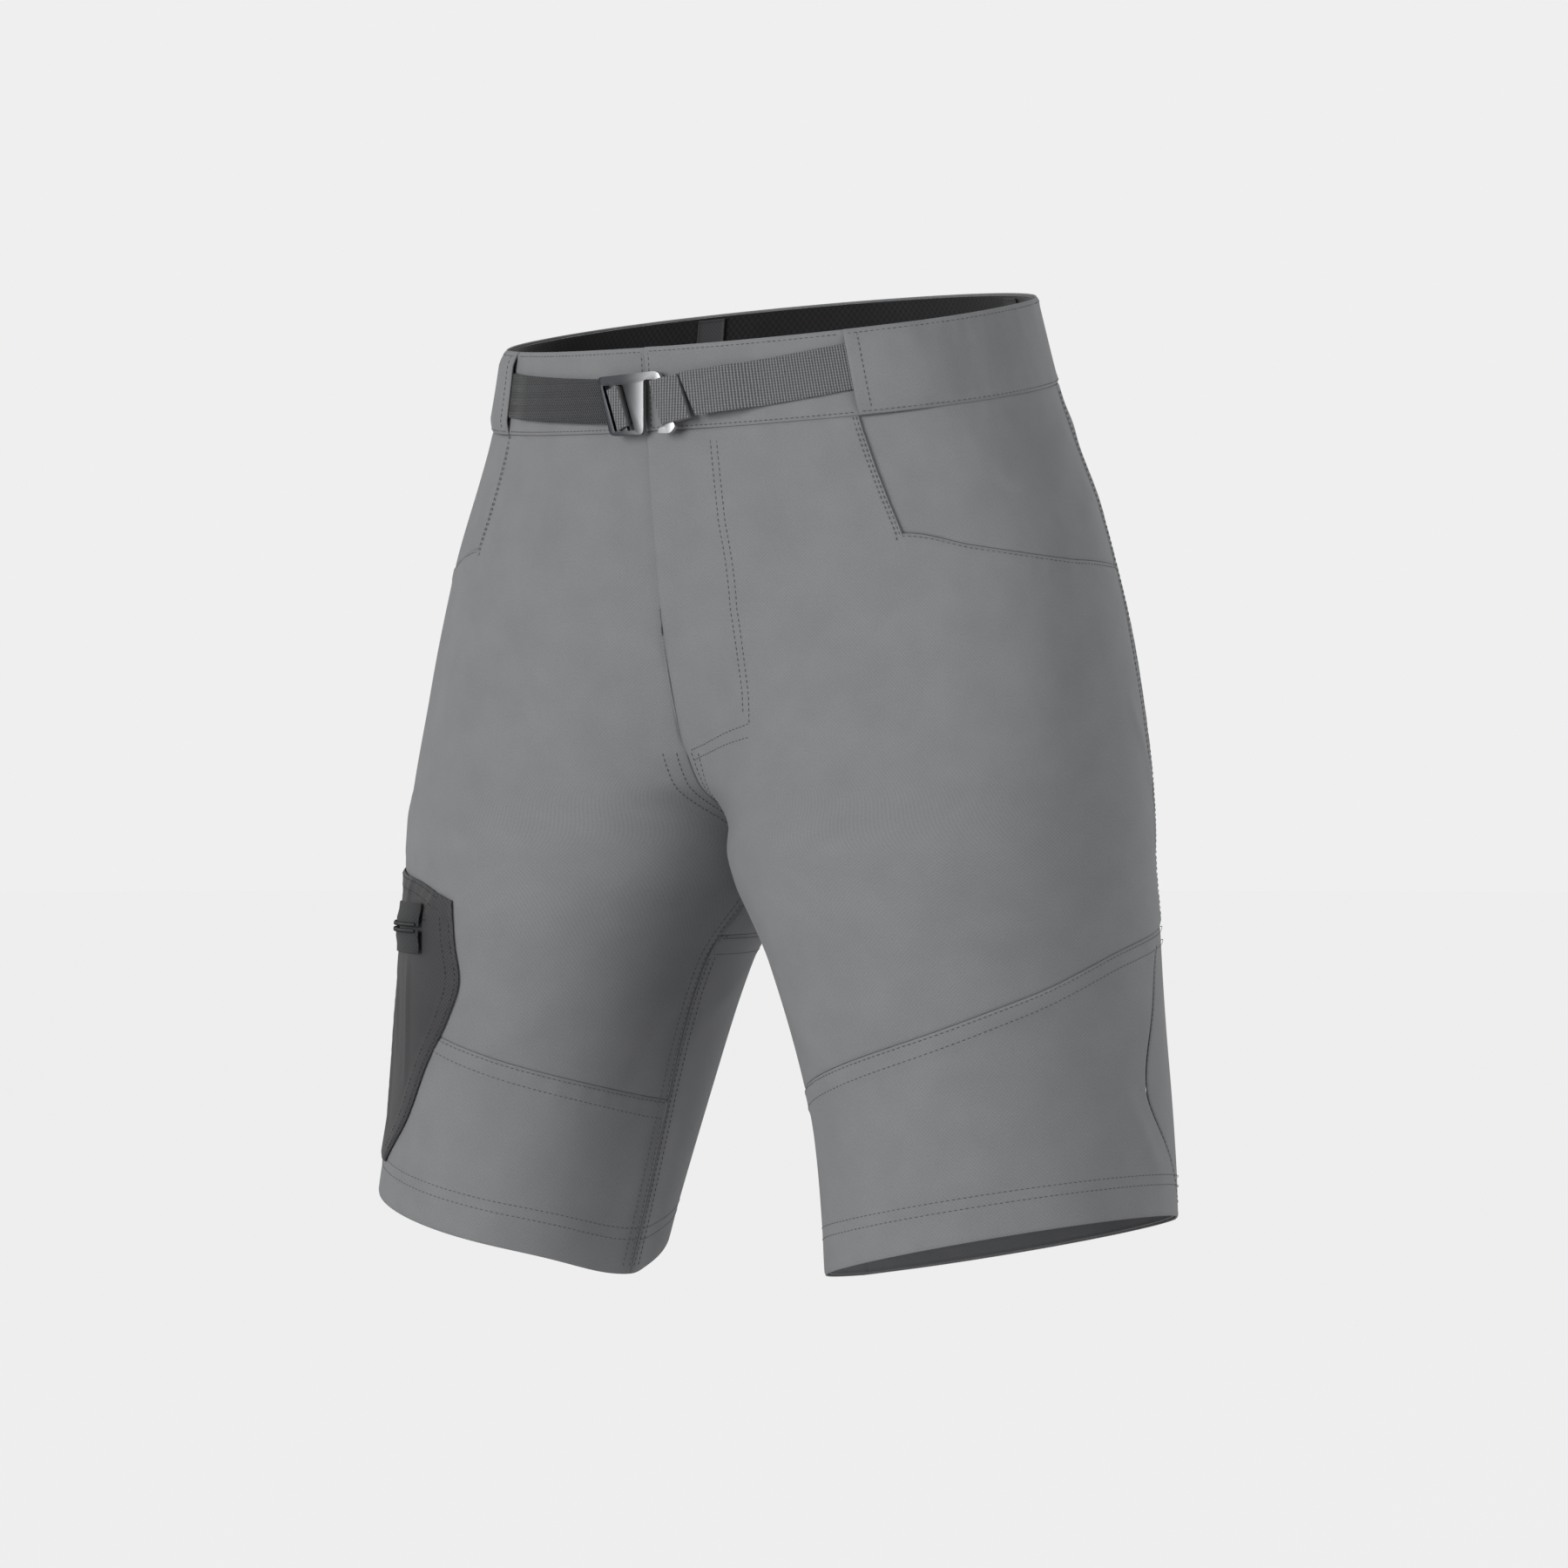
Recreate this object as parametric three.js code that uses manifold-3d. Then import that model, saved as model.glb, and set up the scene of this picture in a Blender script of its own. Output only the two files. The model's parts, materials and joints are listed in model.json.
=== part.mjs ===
// Trekking shorts with a built-in webbing belt and hook buckle, a zipped fly, two hand pockets,
// a zipped thigh pocket on the wearer's right and a zipped back pocket.
// Millimetres, +Z up. The wearer faces -Y and the wearer's left is +X.
// The origin is the middle of the waist opening, level with the top edge at the side seams.
//
// The cloth lies on one surface, described for each half of the garment by two numbers:
//   s   runs round the half: 0 at the front middle (or the inseam), 1 at the back middle
//   q   runs down it: millimetres below the waist's top edge
// Every cloth piece is a thin shell between two heights over that surface.

import * as THREE from 'three';
import { mergeVertices } from 'three/addons/utils/BufferGeometryUtils.js';
import Module from 'manifold-3d';

const wasm = await Module();
wasm.setup();

// ---------- driving sizes ----------
const girthGrade = 1;          // widens the whole pattern
const lengthGrade = 1;         // lengthens everything below the waistband
const waistbandHeight = 47;
const seamGap = 0.6;           // between two cloth edges along the surface
const middleGap = 0.4;         // between the left and right halves
const cloth = 0.9;             // main cloth
const plyGap = 0.8;            // between two plies that lie on each other
const clearance = 0.4;         // between hardware and what it lies on

const webbing = { width: 25, thick: 1.3 };
const beltLine = { front: 30.7, leftMouth: 20.3, rightMouth: 24.6 };  // the straps' middles, as q
const tunnelMouth = 0.245;     // where the belt goes into the waistband, as s
const strapAnchor = 0.3;       // where the belt is sewn in, as s
const buckle = {
  thick: 2.5, bodyWidth: 32, height: 33, armReach: 12, barWidth: 6, slant: 8.4, pull: 0.17,
  offset: 8.9, drop: 1.2,      // from the front middle of the belt line
};

const zip = {
  tapeWidth: 14, tapeThick: 0.6, coilInner: 0.5, coilOuter: 3, coilHeight: 1.4,
  sliderLength: 11, plate: 0.8, run: 0.3, bridgeHeight: 1.4, bridgeBar: 0.8, bridgeWidth: 2,
  pullLength: 22, pullWidth: 5, pullThick: 0.8,
};
const flyZip = { centre: 12, top: 58, bottom: 204 };
const cargoZip = { side: -1, from: 0.29, to: 0.57, drop: 341 };
const rearZip = { side: -1, from: 0.9, to: 0.66, drop: 108 };

const pocketMouthTop = 0.24;   // hand pocket edge at the waistband, as s
const pocketMouthEnd = 0.27;   // and at its lower corner
const sideSeam = 0.6;
const hemDepth = 25;

// ---------- the garment's sections ----------
// One entry for each level down the garment. Widths and depths are half sizes from the middle.
// split is how far the section has parted into two legs, full how square its corners are (lower is
// squarer), and rise how a level line climbs towards the back or the side.
const girth = (values) => values.map((v) => v * girthGrade);
const pattern = {
  drop: [0, 47, 130, 195, 250, 292, 345, 415, 500]
    .map((d) => (d === 0 ? 0 : waistbandHeight + (d - 47) * lengthGrade)),
  halfWidth: girth([161, 174.5, 206, 220.5, 227.5, 230, 232.5, 239, 251.5]),
  front: girth([105, 102, 100, 104, 113, 121, 120, 120, 120]),
  back: girth([113, 119, 132, 142.5, 144.5, 136, 134, 134, 134]),
  legCentre: girth([80, 80, 85, 100, 112, 115, 135, 152, 167]),
  legMiddle: girth([0, 0, 2, 4, 6, 6, 2, 0, -10]),
  legDepth: girth([118, 118, 118, 118, 118, 116, 111, 102, 94]),
  fullAcross: [1, 1, 0.95, 0.91, 0.87, 0.83, 0.83, 0.83, 0.83],
  fullDeep: [0.9, 0.9, 0.89, 0.87, 0.84, 0.8, 0.8, 0.8, 0.8],
  splitFront: [0, 0, 0.06, 0.22, 0.46, 1, 1, 1, 1],
  splitBack: [0, 0, 0, 0.03, 0.22, 1, 1, 1, 1],
  sideRise: [0, 0, 0, 0, 0, 0, 0.073, 0.166, 0.23],
  backRise: [0.195, 0.182, 0.12, 0.105, 0.055, 0.02, -0.015, -0.03, -0.02],
  legTurn: [0, 0, 0, 0, 0, 0, 0.07, 0.097, 0.155],
};
const hem = pattern.drop[pattern.drop.length - 1];
const below = (drop) => waistbandHeight + (drop - 47) * lengthGrade;

const mix = (a, b, t) => a + (b - a) * t;
const clamp = (x, low, high) => Math.min(high, Math.max(low, x));
const ease = (t) => { const c = clamp(t, 0, 1); return c * c * (3 - 2 * c); };

// A curve through points that never overshoots them.
function through(xs, ys, x) {
  const last = xs.length - 1;
  const slope = (i) => (ys[i + 1] - ys[i]) / (xs[i + 1] - xs[i]);
  const tangent = (i) => {
    if (i === 0) return slope(0);
    if (i === last) return slope(last - 1);
    const before = slope(i - 1), after = slope(i);
    return before * after <= 0 ? 0 : 2 * before * after / (before + after);
  };
  const at = clamp(x, xs[0], xs[last]);
  let i = 0;
  while (i < last - 1 && at > xs[i + 1]) i += 1;
  const h = xs[i + 1] - xs[i], t = (at - xs[i]) / h;
  return (1 + 2 * t) * (1 - t) ** 2 * ys[i] + t * (1 - t) ** 2 * h * tangent(i)
    + t * t * (3 - 2 * t) * ys[i + 1] + t * t * (t - 1) * h * tangent(i + 1);
}

// The plain surface, before any height over it.
function surface(s, q) {
  const g = {};
  for (const name of Object.keys(pattern)) {
    if (name !== 'drop') g[name] = through(pattern.drop, pattern[name], q);
  }
  const c = Math.cos(Math.PI * s);
  const torsoX = g.halfWidth * Math.max(Math.sin(Math.PI * s), 0) ** g.fullAcross;
  const torsoY = -(c > 0 ? g.front : g.back) * Math.sign(c) * Math.abs(c) ** g.fullDeep;
  const legX = g.legCentre - (g.halfWidth - g.legCentre) * Math.cos(2 * Math.PI * s);
  const legY = g.legMiddle - g.legDepth * Math.sin(2 * Math.PI * s) + g.legTurn * (legX - g.legCentre);
  const w = mix(g.splitFront, g.splitBack, ease(s));
  const x = Math.max(mix(torsoX, legX, w), 0) + middleGap / 2;
  const y = mix(torsoY, legY, w);
  return new THREE.Vector3(x, y, -q + g.backRise * y + g.sideRise * (x - g.legCentre));
}

// A point at a height over the surface; side is 1 on the wearer's left and -1 on the right.
function over(side, s, q, height) {
  const step = 0.004;
  const at = clamp(s, 0, 1);
  const a = surface(clamp(at - step, 0, 1), q), b = surface(clamp(at + step, 0, 1), q);
  const run = Math.hypot(b.x - a.x, b.y - a.y);
  const p = surface(at, q);
  p.x += height * (b.y - a.y) / run;
  p.y -= height * (b.x - a.x) / run;
  p.x = Math.max(p.x, middleGap / 2) * side;
  return p;
}

// The same, with r running from the left front (0) round the back (1) to the right front (2).
const around = (r, q, height) => (r <= 1 ? over(1, r, q, height) : over(-1, 2 - r, q, height));

// Millimetres along the surface for each unit of s.
function spread(s, q) {
  const step = 0.01;
  return surface(clamp(s - step, 0, 1), q).distanceTo(surface(clamp(s + step, 0, 1), q))
    / (clamp(s + step, 0, 1) - clamp(s - step, 0, 1));
}

// ---------- materials ----------
const paint = (color, roughness, metalness = 0) => ({ color, roughness, metalness });
const mainCloth = paint(0x7c7d7f, 0.85);
const darkCloth = paint(0x474749, 0.7);
const lining = paint(0x17171a, 0.95);
const belt = paint(0x4a4a4c, 0.8);
const mesh = paint(0x2c2d30, 0.9);
const tape = paint(0x3a3b3d, 0.8);
const coil = paint(0x2a2b2d, 0.5);
const steel = paint(0x5b5d60, 0.35, 1);
const gunmetal = paint(0x8a8c8f, 0.3, 1);

const shorts = new THREE.Group();

function add(name, geometry, finish, place) {
  const piece = new THREE.Mesh(geometry, new THREE.MeshStandardMaterial(finish));
  piece.name = name;
  if (place) piece.applyMatrix4(place);
  shorts.add(piece);
  return piece;
}

// ---------- shells laid over a surface ----------
// A box divided across and down, with each corner moved by place(u, v, w): u across, v down and
// w from the inner face (0) to the outer face (1).
function shell(across, down, place, mirrored = false, matched = false) {
  const box = new THREE.BoxGeometry(1, 1, 1, across, down, 1);
  box.deleteAttribute('normal');
  box.deleteAttribute('uv');
  const geometry = mergeVertices(box, 1e-4);
  if (matched) matchInner(geometry.getIndex(), across * down);
  const at = geometry.getAttribute('position');
  for (let i = 0; i < at.count; i += 1) {
    const p = place(at.getX(i) + 0.5, 0.5 - at.getY(i), at.getZ(i) + 0.5);
    at.setXYZ(i, p.x, p.y, p.z);
  }
  if (mirrored) flip(geometry);
  return geometry;
}

// The inner face's squares, the last in the list, are split along the same corners as the outer
// face's, so that the wall keeps its thickness where the surface twists.
function matchInner(index, squares) {
  for (let i = index.count - 6 * squares; i < index.count; i += 6) {
    const [a, b, d, , c] = [0, 1, 2, 3, 4].map((j) => index.getX(i + j));
    [a, b, c, a, c, d].forEach((corner, j) => index.setX(i + j, corner));
  }
}

function flip(geometry) {
  const index = geometry.getIndex();
  for (let i = 0; i < index.count; i += 3) {
    const first = index.getX(i);
    index.setX(i, index.getX(i + 1));
    index.setX(i + 1, first);
  }
}

// A cloth piece on one side. Its front and back edges are functions of q, its top and bottom edges
// functions of s, and its inner and outer heights functions of s and q; plain numbers serve too.
// bend puts one row of the piece at a given q, so that it meets the rows of its neighbour.
const call = (value, ...input) => (typeof value === 'function' ? value(...input) : value);

function panel(name, finish, side, edges, heights, across, down) {
  const place = (u, v, w) => {
    let s = 0.5, q = 0;
    for (let pass = 0; pass < 8; pass += 1) {
      const top = call(edges.top, s) + seamGap / 2, bottom = call(edges.bottom, s) - seamGap / 2;
      const bend = edges.bend;
      if (!bend) q = mix(top, bottom, v);
      else if (v <= bend.v) q = mix(top, bend.q, v / bend.v);
      else q = mix(bend.q, bottom, (v - bend.v) / (1 - bend.v));
      const gapS = seamGap / 2 / spread(s, q);
      s = mix(call(edges.front, q) + gapS, call(edges.back, q) - gapS, u);
    }
    return over(side, s, q, mix(call(heights.inner, s, q), call(heights.outer, s, q), w));
  };
  add(name, shell(across, down, place, side < 0, heights === onTop), finish);
}

const bothSides = [['left', 1], ['right', -1]];

// ---------- seams ----------
const waistSeam = waistbandHeight;
const thighSeam = (s) => below(through([0, 0.1, 0.2, 0.3, 0.4, 0.5, 0.6], [416, 409, 402, 392, 374, 348, 333], s));
const hipSeam = (s) => below(through([0, pocketMouthEnd, 0.34, 0.44, sideSeam], [114, 114, 123, 132, 143], s));
const frontTop = (s) => mix(waistSeam, hipSeam(s), clamp((s - pocketMouthTop) / (pocketMouthEnd - pocketMouthTop), 0, 1));
const onTop = { inner: -cloth, outer: 0 };

// ---------- the shell of the shorts ----------
// The hand pocket's facing lies under the front panel at the pocket's mouth and comes level behind it.
const facingSink = (s) => -(cloth + plyGap) * (1 - ease((s - pocketMouthEnd - 0.01) / 0.1));
const hipHeights = { inner: (s) => facingSink(s) - cloth, outer: facingSink };

// The side insert on the wearer's left: a long kite on the side seam.
const kiteWidth = (q) => through([333, 345, 383, 430, 473, 500].map(below), [0.01, 0.036, 0.056, 0.082, 0.037, 0.012], q);

for (const [word, side] of bothSides) {
  const kite = side > 0 ? (q) => kiteWidth(q) + 0.004 : () => 0;
  panel(`front_panel_${word}`, mainCloth, side,
    { front: 0, back: sideSeam, top: frontTop, bottom: thighSeam }, onTop, 20, 12);
  panel(`hip_panel_${word}`, mainCloth, side,
    { front: pocketMouthTop - 0.02, back: sideSeam, top: waistSeam, bottom: hipSeam }, hipHeights, 14, 4);
  panel(`back_panel_${word}`, mainCloth, side,
    { front: sideSeam, back: 1, top: waistSeam, bottom: thighSeam(sideSeam), bend: { v: 0.2, q: hipSeam(sideSeam) } },
    onTop, 16, 15);
  panel(`lower_front_${word}`, mainCloth, side,
    { front: 0, back: (q) => sideSeam - kite(q), top: thighSeam, bottom: hem }, onTop, 24, 6);
  panel(`lower_back_${word}`, mainCloth, side,
    { front: (q) => sideSeam + kite(q), back: 1, top: thighSeam(sideSeam), bottom: hem }, onTop, 16, 6);
  panel(`hem_facing_${word}`, mainCloth, side,
    { front: 0, back: 1, top: hem - hemDepth, bottom: hem - 1 },
    { inner: -2 * cloth - 1.3 * plyGap, outer: -cloth - 1.3 * plyGap }, 40, 1);
  panel(`pocket_bag_${word}`, mesh, side,
    { front: 0.13, back: 0.5, top: below(52), bottom: below(250) },
    { inner: -3 * cloth - 2.6 * plyGap, outer: -2 * cloth - 2.1 * plyGap }, 12, 6);
}
panel('side_insert_left', mainCloth, 1,
  { front: (q) => sideSeam - kiteWidth(q), back: (q) => sideSeam + kiteWidth(q),
    top: (s) => thighSeam(s) + 1.5, bottom: hem }, onTop, 4, 6);

// ---------- waistband ----------
// The tunnel stands off the front pieces at its mouths, where the belt goes in, and lies flat behind.
const tunnelStandoff = webbing.thick + 1.5 * plyGap + cloth;
const tunnelHeight = (s) => tunnelStandoff * (1 - ease((s - strapAnchor - 0.02) / 0.1));
const liningTop = -cloth - 0.75 * plyGap;

for (const [word, side] of bothSides) {
  panel(`waistband_front_${word}`, mainCloth, side,
    { front: 0, back: strapAnchor + 0.01, top: 0, bottom: waistSeam }, onTop, 9, 2);
}
const strip = (name, finish, from, to, top, bottom, inner, outer, across, down) => {
  const place = (u, v, w) => {
    const r = mix(from, to, u);
    const s = r <= 1 ? r : 2 - r;
    return around(r, mix(top, bottom, v), mix(call(inner, s), call(outer, s), w));
  };
  add(name, shell(across, down, place), finish);
};
strip('waistband_tunnel', mainCloth, tunnelMouth, 2 - tunnelMouth, seamGap / 2, waistSeam - seamGap / 2,
  (s) => tunnelHeight(s) - cloth, tunnelHeight, 52, 2);
strip('waistband_lining', lining, 0.004, 1.996, 1.5, waistSeam - 2,
  liningTop - 0.8, liningTop, 52, 1);

const loop = { width: 16, drop: 34, at: 0.77 };
for (const [word, side] of bothSides) {
  const half = loop.width / 2 / spread(loop.at, 0);
  panel(`hanger_loop_${word}`, mainCloth, side,
    { front: loop.at - half, back: loop.at + half, top: 3, bottom: 3 + loop.drop },
    { inner: liningTop - 1.8 - plyGap / 2, outer: liningTop - 0.8 - plyGap / 2 }, 3, 2);
}

// ---------- thigh pocket on the wearer's right ----------
const cargoEdge = {
  front: (q) => through([319, 346, 367, 386, 417, 449, 478].map(below), [0.264, 0.243, 0.231, 0.239, 0.265, 0.288, 0.33], q),
  back: (q) => through([312, 400, 440, 478].map(below), [sideSeam, sideSeam, 0.57, 0.5], q),
  top: (s) => below(through([0.264, 0.335, 0.45, sideSeam], [319, 306, 300, 312], s)),
  bottom: below(478),
};
const cargoHeight = cloth + 1.15 * plyGap;
panel('cargo_pocket_panel', darkCloth, -1, cargoEdge,
  { inner: cargoHeight - 0.8, outer: cargoHeight }, 20, 8);
// The back pocket's bag keeps to the rows of the back panel that it hangs behind.
panel('rear_pocket_bag', mesh, -1,
  { front: 0.675, back: 0.9, top: mix(waistSeam, hipSeam(sideSeam), 1 / 3),
    bottom: mix(hipSeam(sideSeam), thighSeam(sideSeam), 7 / 12), bend: { v: 2 / 9, q: hipSeam(sideSeam) } },
  { inner: -3 * cloth - 1.5 * plyGap, outer: -cloth - 1.5 * plyGap }, 9, 9);

// ---------- solids and booleans ----------
function solid(geometry) {
  geometry.deleteAttribute('normal');
  geometry.deleteAttribute('uv');
  const merged = mergeVertices(geometry, 1e-4);
  return new wasm.Manifold(new wasm.Mesh({
    numProp: 3,
    vertProperties: new Float32Array(merged.getAttribute('position').array),
    triVerts: new Uint32Array(merged.getIndex().array),
  }));
}

function fromSolid(body) {
  const { vertProperties, triVerts } = body.getMesh();
  const geometry = new THREE.BufferGeometry();
  geometry.setAttribute('position', new THREE.BufferAttribute(vertProperties, 3));
  geometry.setIndex(new THREE.BufferAttribute(triVerts, 1));
  return geometry;
}

// An outline of [x, y] corners, each rounded by its own radius when it has a third number.
function outline(points) {
  const shape = new THREE.Shape();
  points.forEach(([x, y, radius = 0], i) => {
    const [px, py] = points[(i + points.length - 1) % points.length];
    const [nx, ny] = points[(i + 1) % points.length];
    const toPrev = Math.hypot(px - x, py - y), toNext = Math.hypot(nx - x, ny - y);
    const startX = x + (px - x) / toPrev * radius, startY = y + (py - y) / toPrev * radius;
    if (i === 0) shape.moveTo(startX, startY);
    else shape.lineTo(startX, startY);
    if (radius > 0) shape.quadraticCurveTo(x, y, x + (nx - x) / toNext * radius, y + (ny - y) / toNext * radius);
  });
  shape.closePath();
  return shape;
}

const rectangle = (left, bottom, right, top, radius = 0) => outline(
  [[left, bottom, radius], [right, bottom, radius], [right, top, radius], [left, top, radius]]);

function extruded(shape, depth, holes = []) {
  shape.holes = holes;
  return new THREE.ExtrudeGeometry(shape, { depth, bevelEnabled: false, curveSegments: 4 }).translate(0, 0, -depth / 2);
}

const frame = (x, y, z, origin) => new THREE.Matrix4().makeBasis(x, y, z).setPosition(origin);

// ---------- zips ----------
// A track gives, for a distance along the zip, the point on the tape's middle plane and the
// directions along the zip, across it and out of the garment.
function straightTrack(start, along, out, length) {
  const across = new THREE.Vector3().crossVectors(out, along);
  return { length, steps: 1, at: (d) => ({ origin: start.clone().addScaledVector(along, d), along, across, out }) };
}

// A level arc that clears the cloth it is sewn on by the given height, from the place where the
// slider rests to the place where the zip is fully open. It leans as the cloth under it does.
function arcTrack({ side, from, to, drop }, height) {
  const places = Array.from({ length: 13 }, (_, i) => over(side, mix(from, to, i / 12), below(drop), height));
  const [a, b, c] = [places[0], places[6], places[12]];
  const d = 2 * (a.x * (b.y - c.y) + b.x * (c.y - a.y) + c.x * (a.y - b.y));
  const squares = [a, b, c].map((p) => p.x ** 2 + p.y ** 2);
  const centre = new THREE.Vector3(
    (squares[0] * (b.y - c.y) + squares[1] * (c.y - a.y) + squares[2] * (a.y - b.y)) / d,
    (squares[0] * (c.x - b.x) + squares[1] * (a.x - c.x) + squares[2] * (b.x - a.x)) / d,
    b.z);
  const radius = Math.max(...places.map((p) => Math.hypot(p.x - centre.x, p.y - centre.y)));
  const angle = (p) => Math.atan2(p.y - centre.y, p.x - centre.x);
  const turn = Math.atan2(Math.sin(angle(c) - angle(a)), Math.cos(angle(c) - angle(a)));
  const first = angle(a);
  const length = Math.abs(turn) * radius;
  const above = over(side, mix(from, to, 0.5), below(drop) - 10, 0), under = over(side, mix(from, to, 0.5), below(drop) + 10, 0);
  const flare = Math.atan2(Math.hypot(under.x - centre.x, under.y - centre.y)
    - Math.hypot(above.x - centre.x, above.y - centre.y), above.z - under.z);
  const at = (distance) => {
    const now = first + Math.sign(turn) * distance / radius;
    const level = new THREE.Vector3(Math.cos(now), Math.sin(now), 0);
    const out = level.clone().multiplyScalar(Math.cos(flare)).setZ(Math.sin(flare));
    const along = new THREE.Vector3(-Math.sin(now), Math.cos(now), 0).multiplyScalar(Math.sign(turn));
    const across = new THREE.Vector3().crossVectors(out, along);
    return { origin: centre.clone().addScaledVector(level, radius), along, across, out };
  };
  return { length, steps: Math.ceil(length / 11), at, centre, radius };
}

// A strip along a track between two distances across it; low and high may depend on the distance across.
function trackStrip(name, finish, track, start, end, near, far, low, high, wide = 1) {
  const place = (u, v, w) => {
    const { origin, across, out } = track.at(mix(start, end, u));
    const x = mix(near, far, v);
    return origin.clone().addScaledVector(across, x).addScaledVector(out, mix(call(low, x), call(high, x), w));
  };
  const geometry = shell(track.steps, wide, place);
  if (solidVolume(geometry) < 0) flip(geometry);
  add(name, geometry, finish);
}

function solidVolume(geometry) {
  const at = geometry.getAttribute('position'), index = geometry.getIndex();
  const corner = (i) => new THREE.Vector3().fromBufferAttribute(at, index.getX(i));
  let six = 0;
  for (let i = 0; i < index.count; i += 3) six += corner(i).dot(corner(i + 1).cross(corner(i + 2)));
  return six / 6;
}

// The slider: two plates joined by a neck that runs between the coils, with a bridge for the pull.
const coilTop = zip.tapeThick / 2 + zip.run + zip.coilHeight;
const plateLow = coilTop + zip.run;
const plateTop = plateLow + zip.plate;
const barTop = plateTop + zip.bridgeHeight + zip.bridgeBar;

function sliderGeometry() {
  const half = zip.coilOuter + zip.run + 1, neck = 0.2, lip = 0.9;
  const tapeTop = zip.tapeThick / 2 + zip.run, bottom = -tapeTop - zip.plate;
  const body = extruded(outline([
    [-half, bottom], [half, bottom], [half, -tapeTop], [neck, -tapeTop], [neck, plateLow],
    [half - lip, plateLow], [half - lip, tapeTop], [half, tapeTop], [half, plateTop], [-half, plateTop],
    [-half, tapeTop], [-half + lip, tapeTop], [-half + lip, plateLow], [-neck, plateLow],
    [-neck, -tapeTop], [-half, -tapeTop],
  ]), zip.sliderLength);
  const reach = zip.sliderLength / 2 - 1.5;
  const bridge = extruded(rectangle(-reach, plateLow + 0.2, reach, barTop), zip.bridgeWidth,
    [rectangle(-reach + 1.4, plateTop, reach - 1.4, plateTop + zip.bridgeHeight)]).rotateY(-Math.PI / 2);
  return fromSolid(solid(body).add(solid(bridge)));
}

function pullGeometry() {
  const bar = 0.5, window = zip.bridgeWidth / 2 + clearance + 0.1, wide = zip.pullWidth / 2;
  const shape = outline([[-wide, -bar, 0.3], [wide, -bar, 0.3], [wide * 0.85, zip.pullLength, 1.2], [-wide * 0.85, zip.pullLength, 1.2]]);
  return extruded(shape, zip.pullThick, [rectangle(-window, bar, window, bar + zip.sliderLength / 2)])
    .rotateX(Math.PI / 2).translate(0, plateTop + zip.bridgeHeight / 2, 0);
}

// A zip on a track. The tapes may climb to their seams: climb holds a height for each of them.
function zipOn(name, words, track, climb) {
  words.forEach((word, i) => {
    const sign = i === 0 ? 1 : -1;
    const rise = (x) => climb[i] * ease((Math.abs(x) - zip.coilOuter - 3) / (zip.tapeWidth - zip.coilOuter - 6));
    trackStrip(`${name}_tape_${word}`, tape, track, 0, track.length, sign * 0.9, sign * zip.tapeWidth,
      (x) => rise(x) - zip.tapeThick / 2, (x) => rise(x) + zip.tapeThick / 2, climb[i] ? 3 : 1);
    trackStrip(`${name}_coil_${word}`, coil, track, 2, track.length - 2, sign * zip.coilInner, sign * zip.coilOuter,
      coilTop - zip.coilHeight, coilTop);
  });
  const rest = track.at(zip.sliderLength / 2 + 3);
  const place = frame(rest.across, rest.out, rest.along, rest.origin);
  add(`${name}_slider`, sliderGeometry(), steel, place);
  add(`${name}_pull`, pullGeometry(), steel, place);
}

// Fly: the zip hangs straight behind the left front's folded edge.
const flyFacingHeight = -cloth - 1.5 * plyGap;
panel('fly_facing', mainCloth, 1,
  { front: 0.003, back: 0.085, top: waistSeam + 1, bottom: (s) => below(206 - 240 * Math.max(s - 0.05, 0)) },
  { inner: flyFacingHeight - cloth, outer: flyFacingHeight }, 5, 7);

// Points on the inner face of the cloth in front of the zip, down its length.
const behind = (x, height) => [0, 0.2, 0.4, 0.6, 0.8, 1].map((t) => {
  const q = mix(flyZip.top, below(flyZip.bottom), t);
  return over(x < 0 ? -1 : 1, Math.abs(x) / spread(0.02, q), q, height);
});
const facingInside = behind(2, flyFacingHeight - cloth);
const facingEdge = behind(flyZip.centre + 10, flyFacingHeight - cloth);
const flyAlong = facingInside[5].clone().sub(facingInside[0]).setX(0).normalize();
const flyOut = new THREE.Vector3(1, 0, 0).cross(flyAlong).multiplyScalar(-1);
if (flyOut.y > 0) flyOut.negate();
const nearest = (points, origin) => Math.min(...points.map((p) => p.clone().sub(origin).dot(flyOut)));
const flyStart = facingInside[0].clone().setX(flyZip.centre);
flyStart.addScaledVector(flyOut, nearest([...facingInside, ...facingEdge], flyStart) - barTop - clearance);
const flyLength = facingInside[5].clone().sub(facingInside[0]).dot(flyAlong);
const flyTrack = straightTrack(flyStart, flyAlong, flyOut, flyLength);
const seatUnder = (points) => nearest(points, flyStart) - clearance - zip.tapeThick / 2;
const tapeClimb = seatUnder([...facingInside, ...facingEdge]) - 0.3;
const shieldClimb = seatUnder(behind(-6, -cloth)) - 0.4;
const leftFirst = flyTrack.at(0).across.x > 0;
zipOn('fly', leftFirst ? ['left', 'right'] : ['right', 'left'], flyTrack, [tapeClimb, tapeClimb]);

// The shield behind the zip, sewn to the right front; its top, behind the waistband, carries the press stud.
const shield = { left: flyZip.centre + 26, right: -9, thick: 0.9, rise: 55, drop: 2 };
const shieldBack = -(zip.tapeThick / 2 + zip.run + zip.plate + clearance);
const stud = { x: 14, drop: 22, capRadius: 6, capThick: 1, postRadius: 2.2 };
const studAt = over(1, stud.x / spread(0.02, stud.drop), stud.drop, liningTop - 0.8);
const studPlane = studAt.y + 3.8;
const shieldFace = (x, d) => {
  const p = flyStart.clone().addScaledVector(flyAlong, d).setX(x);
  const seat = ease((flyZip.centre - zip.tapeWidth + 4 - x) / 6);
  p.addScaledVector(flyOut, mix(shieldBack, shieldClimb, seat));
  p.y = mix(p.y, studPlane, ease(-(d + 1) / 16));
  return p;
};
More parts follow.
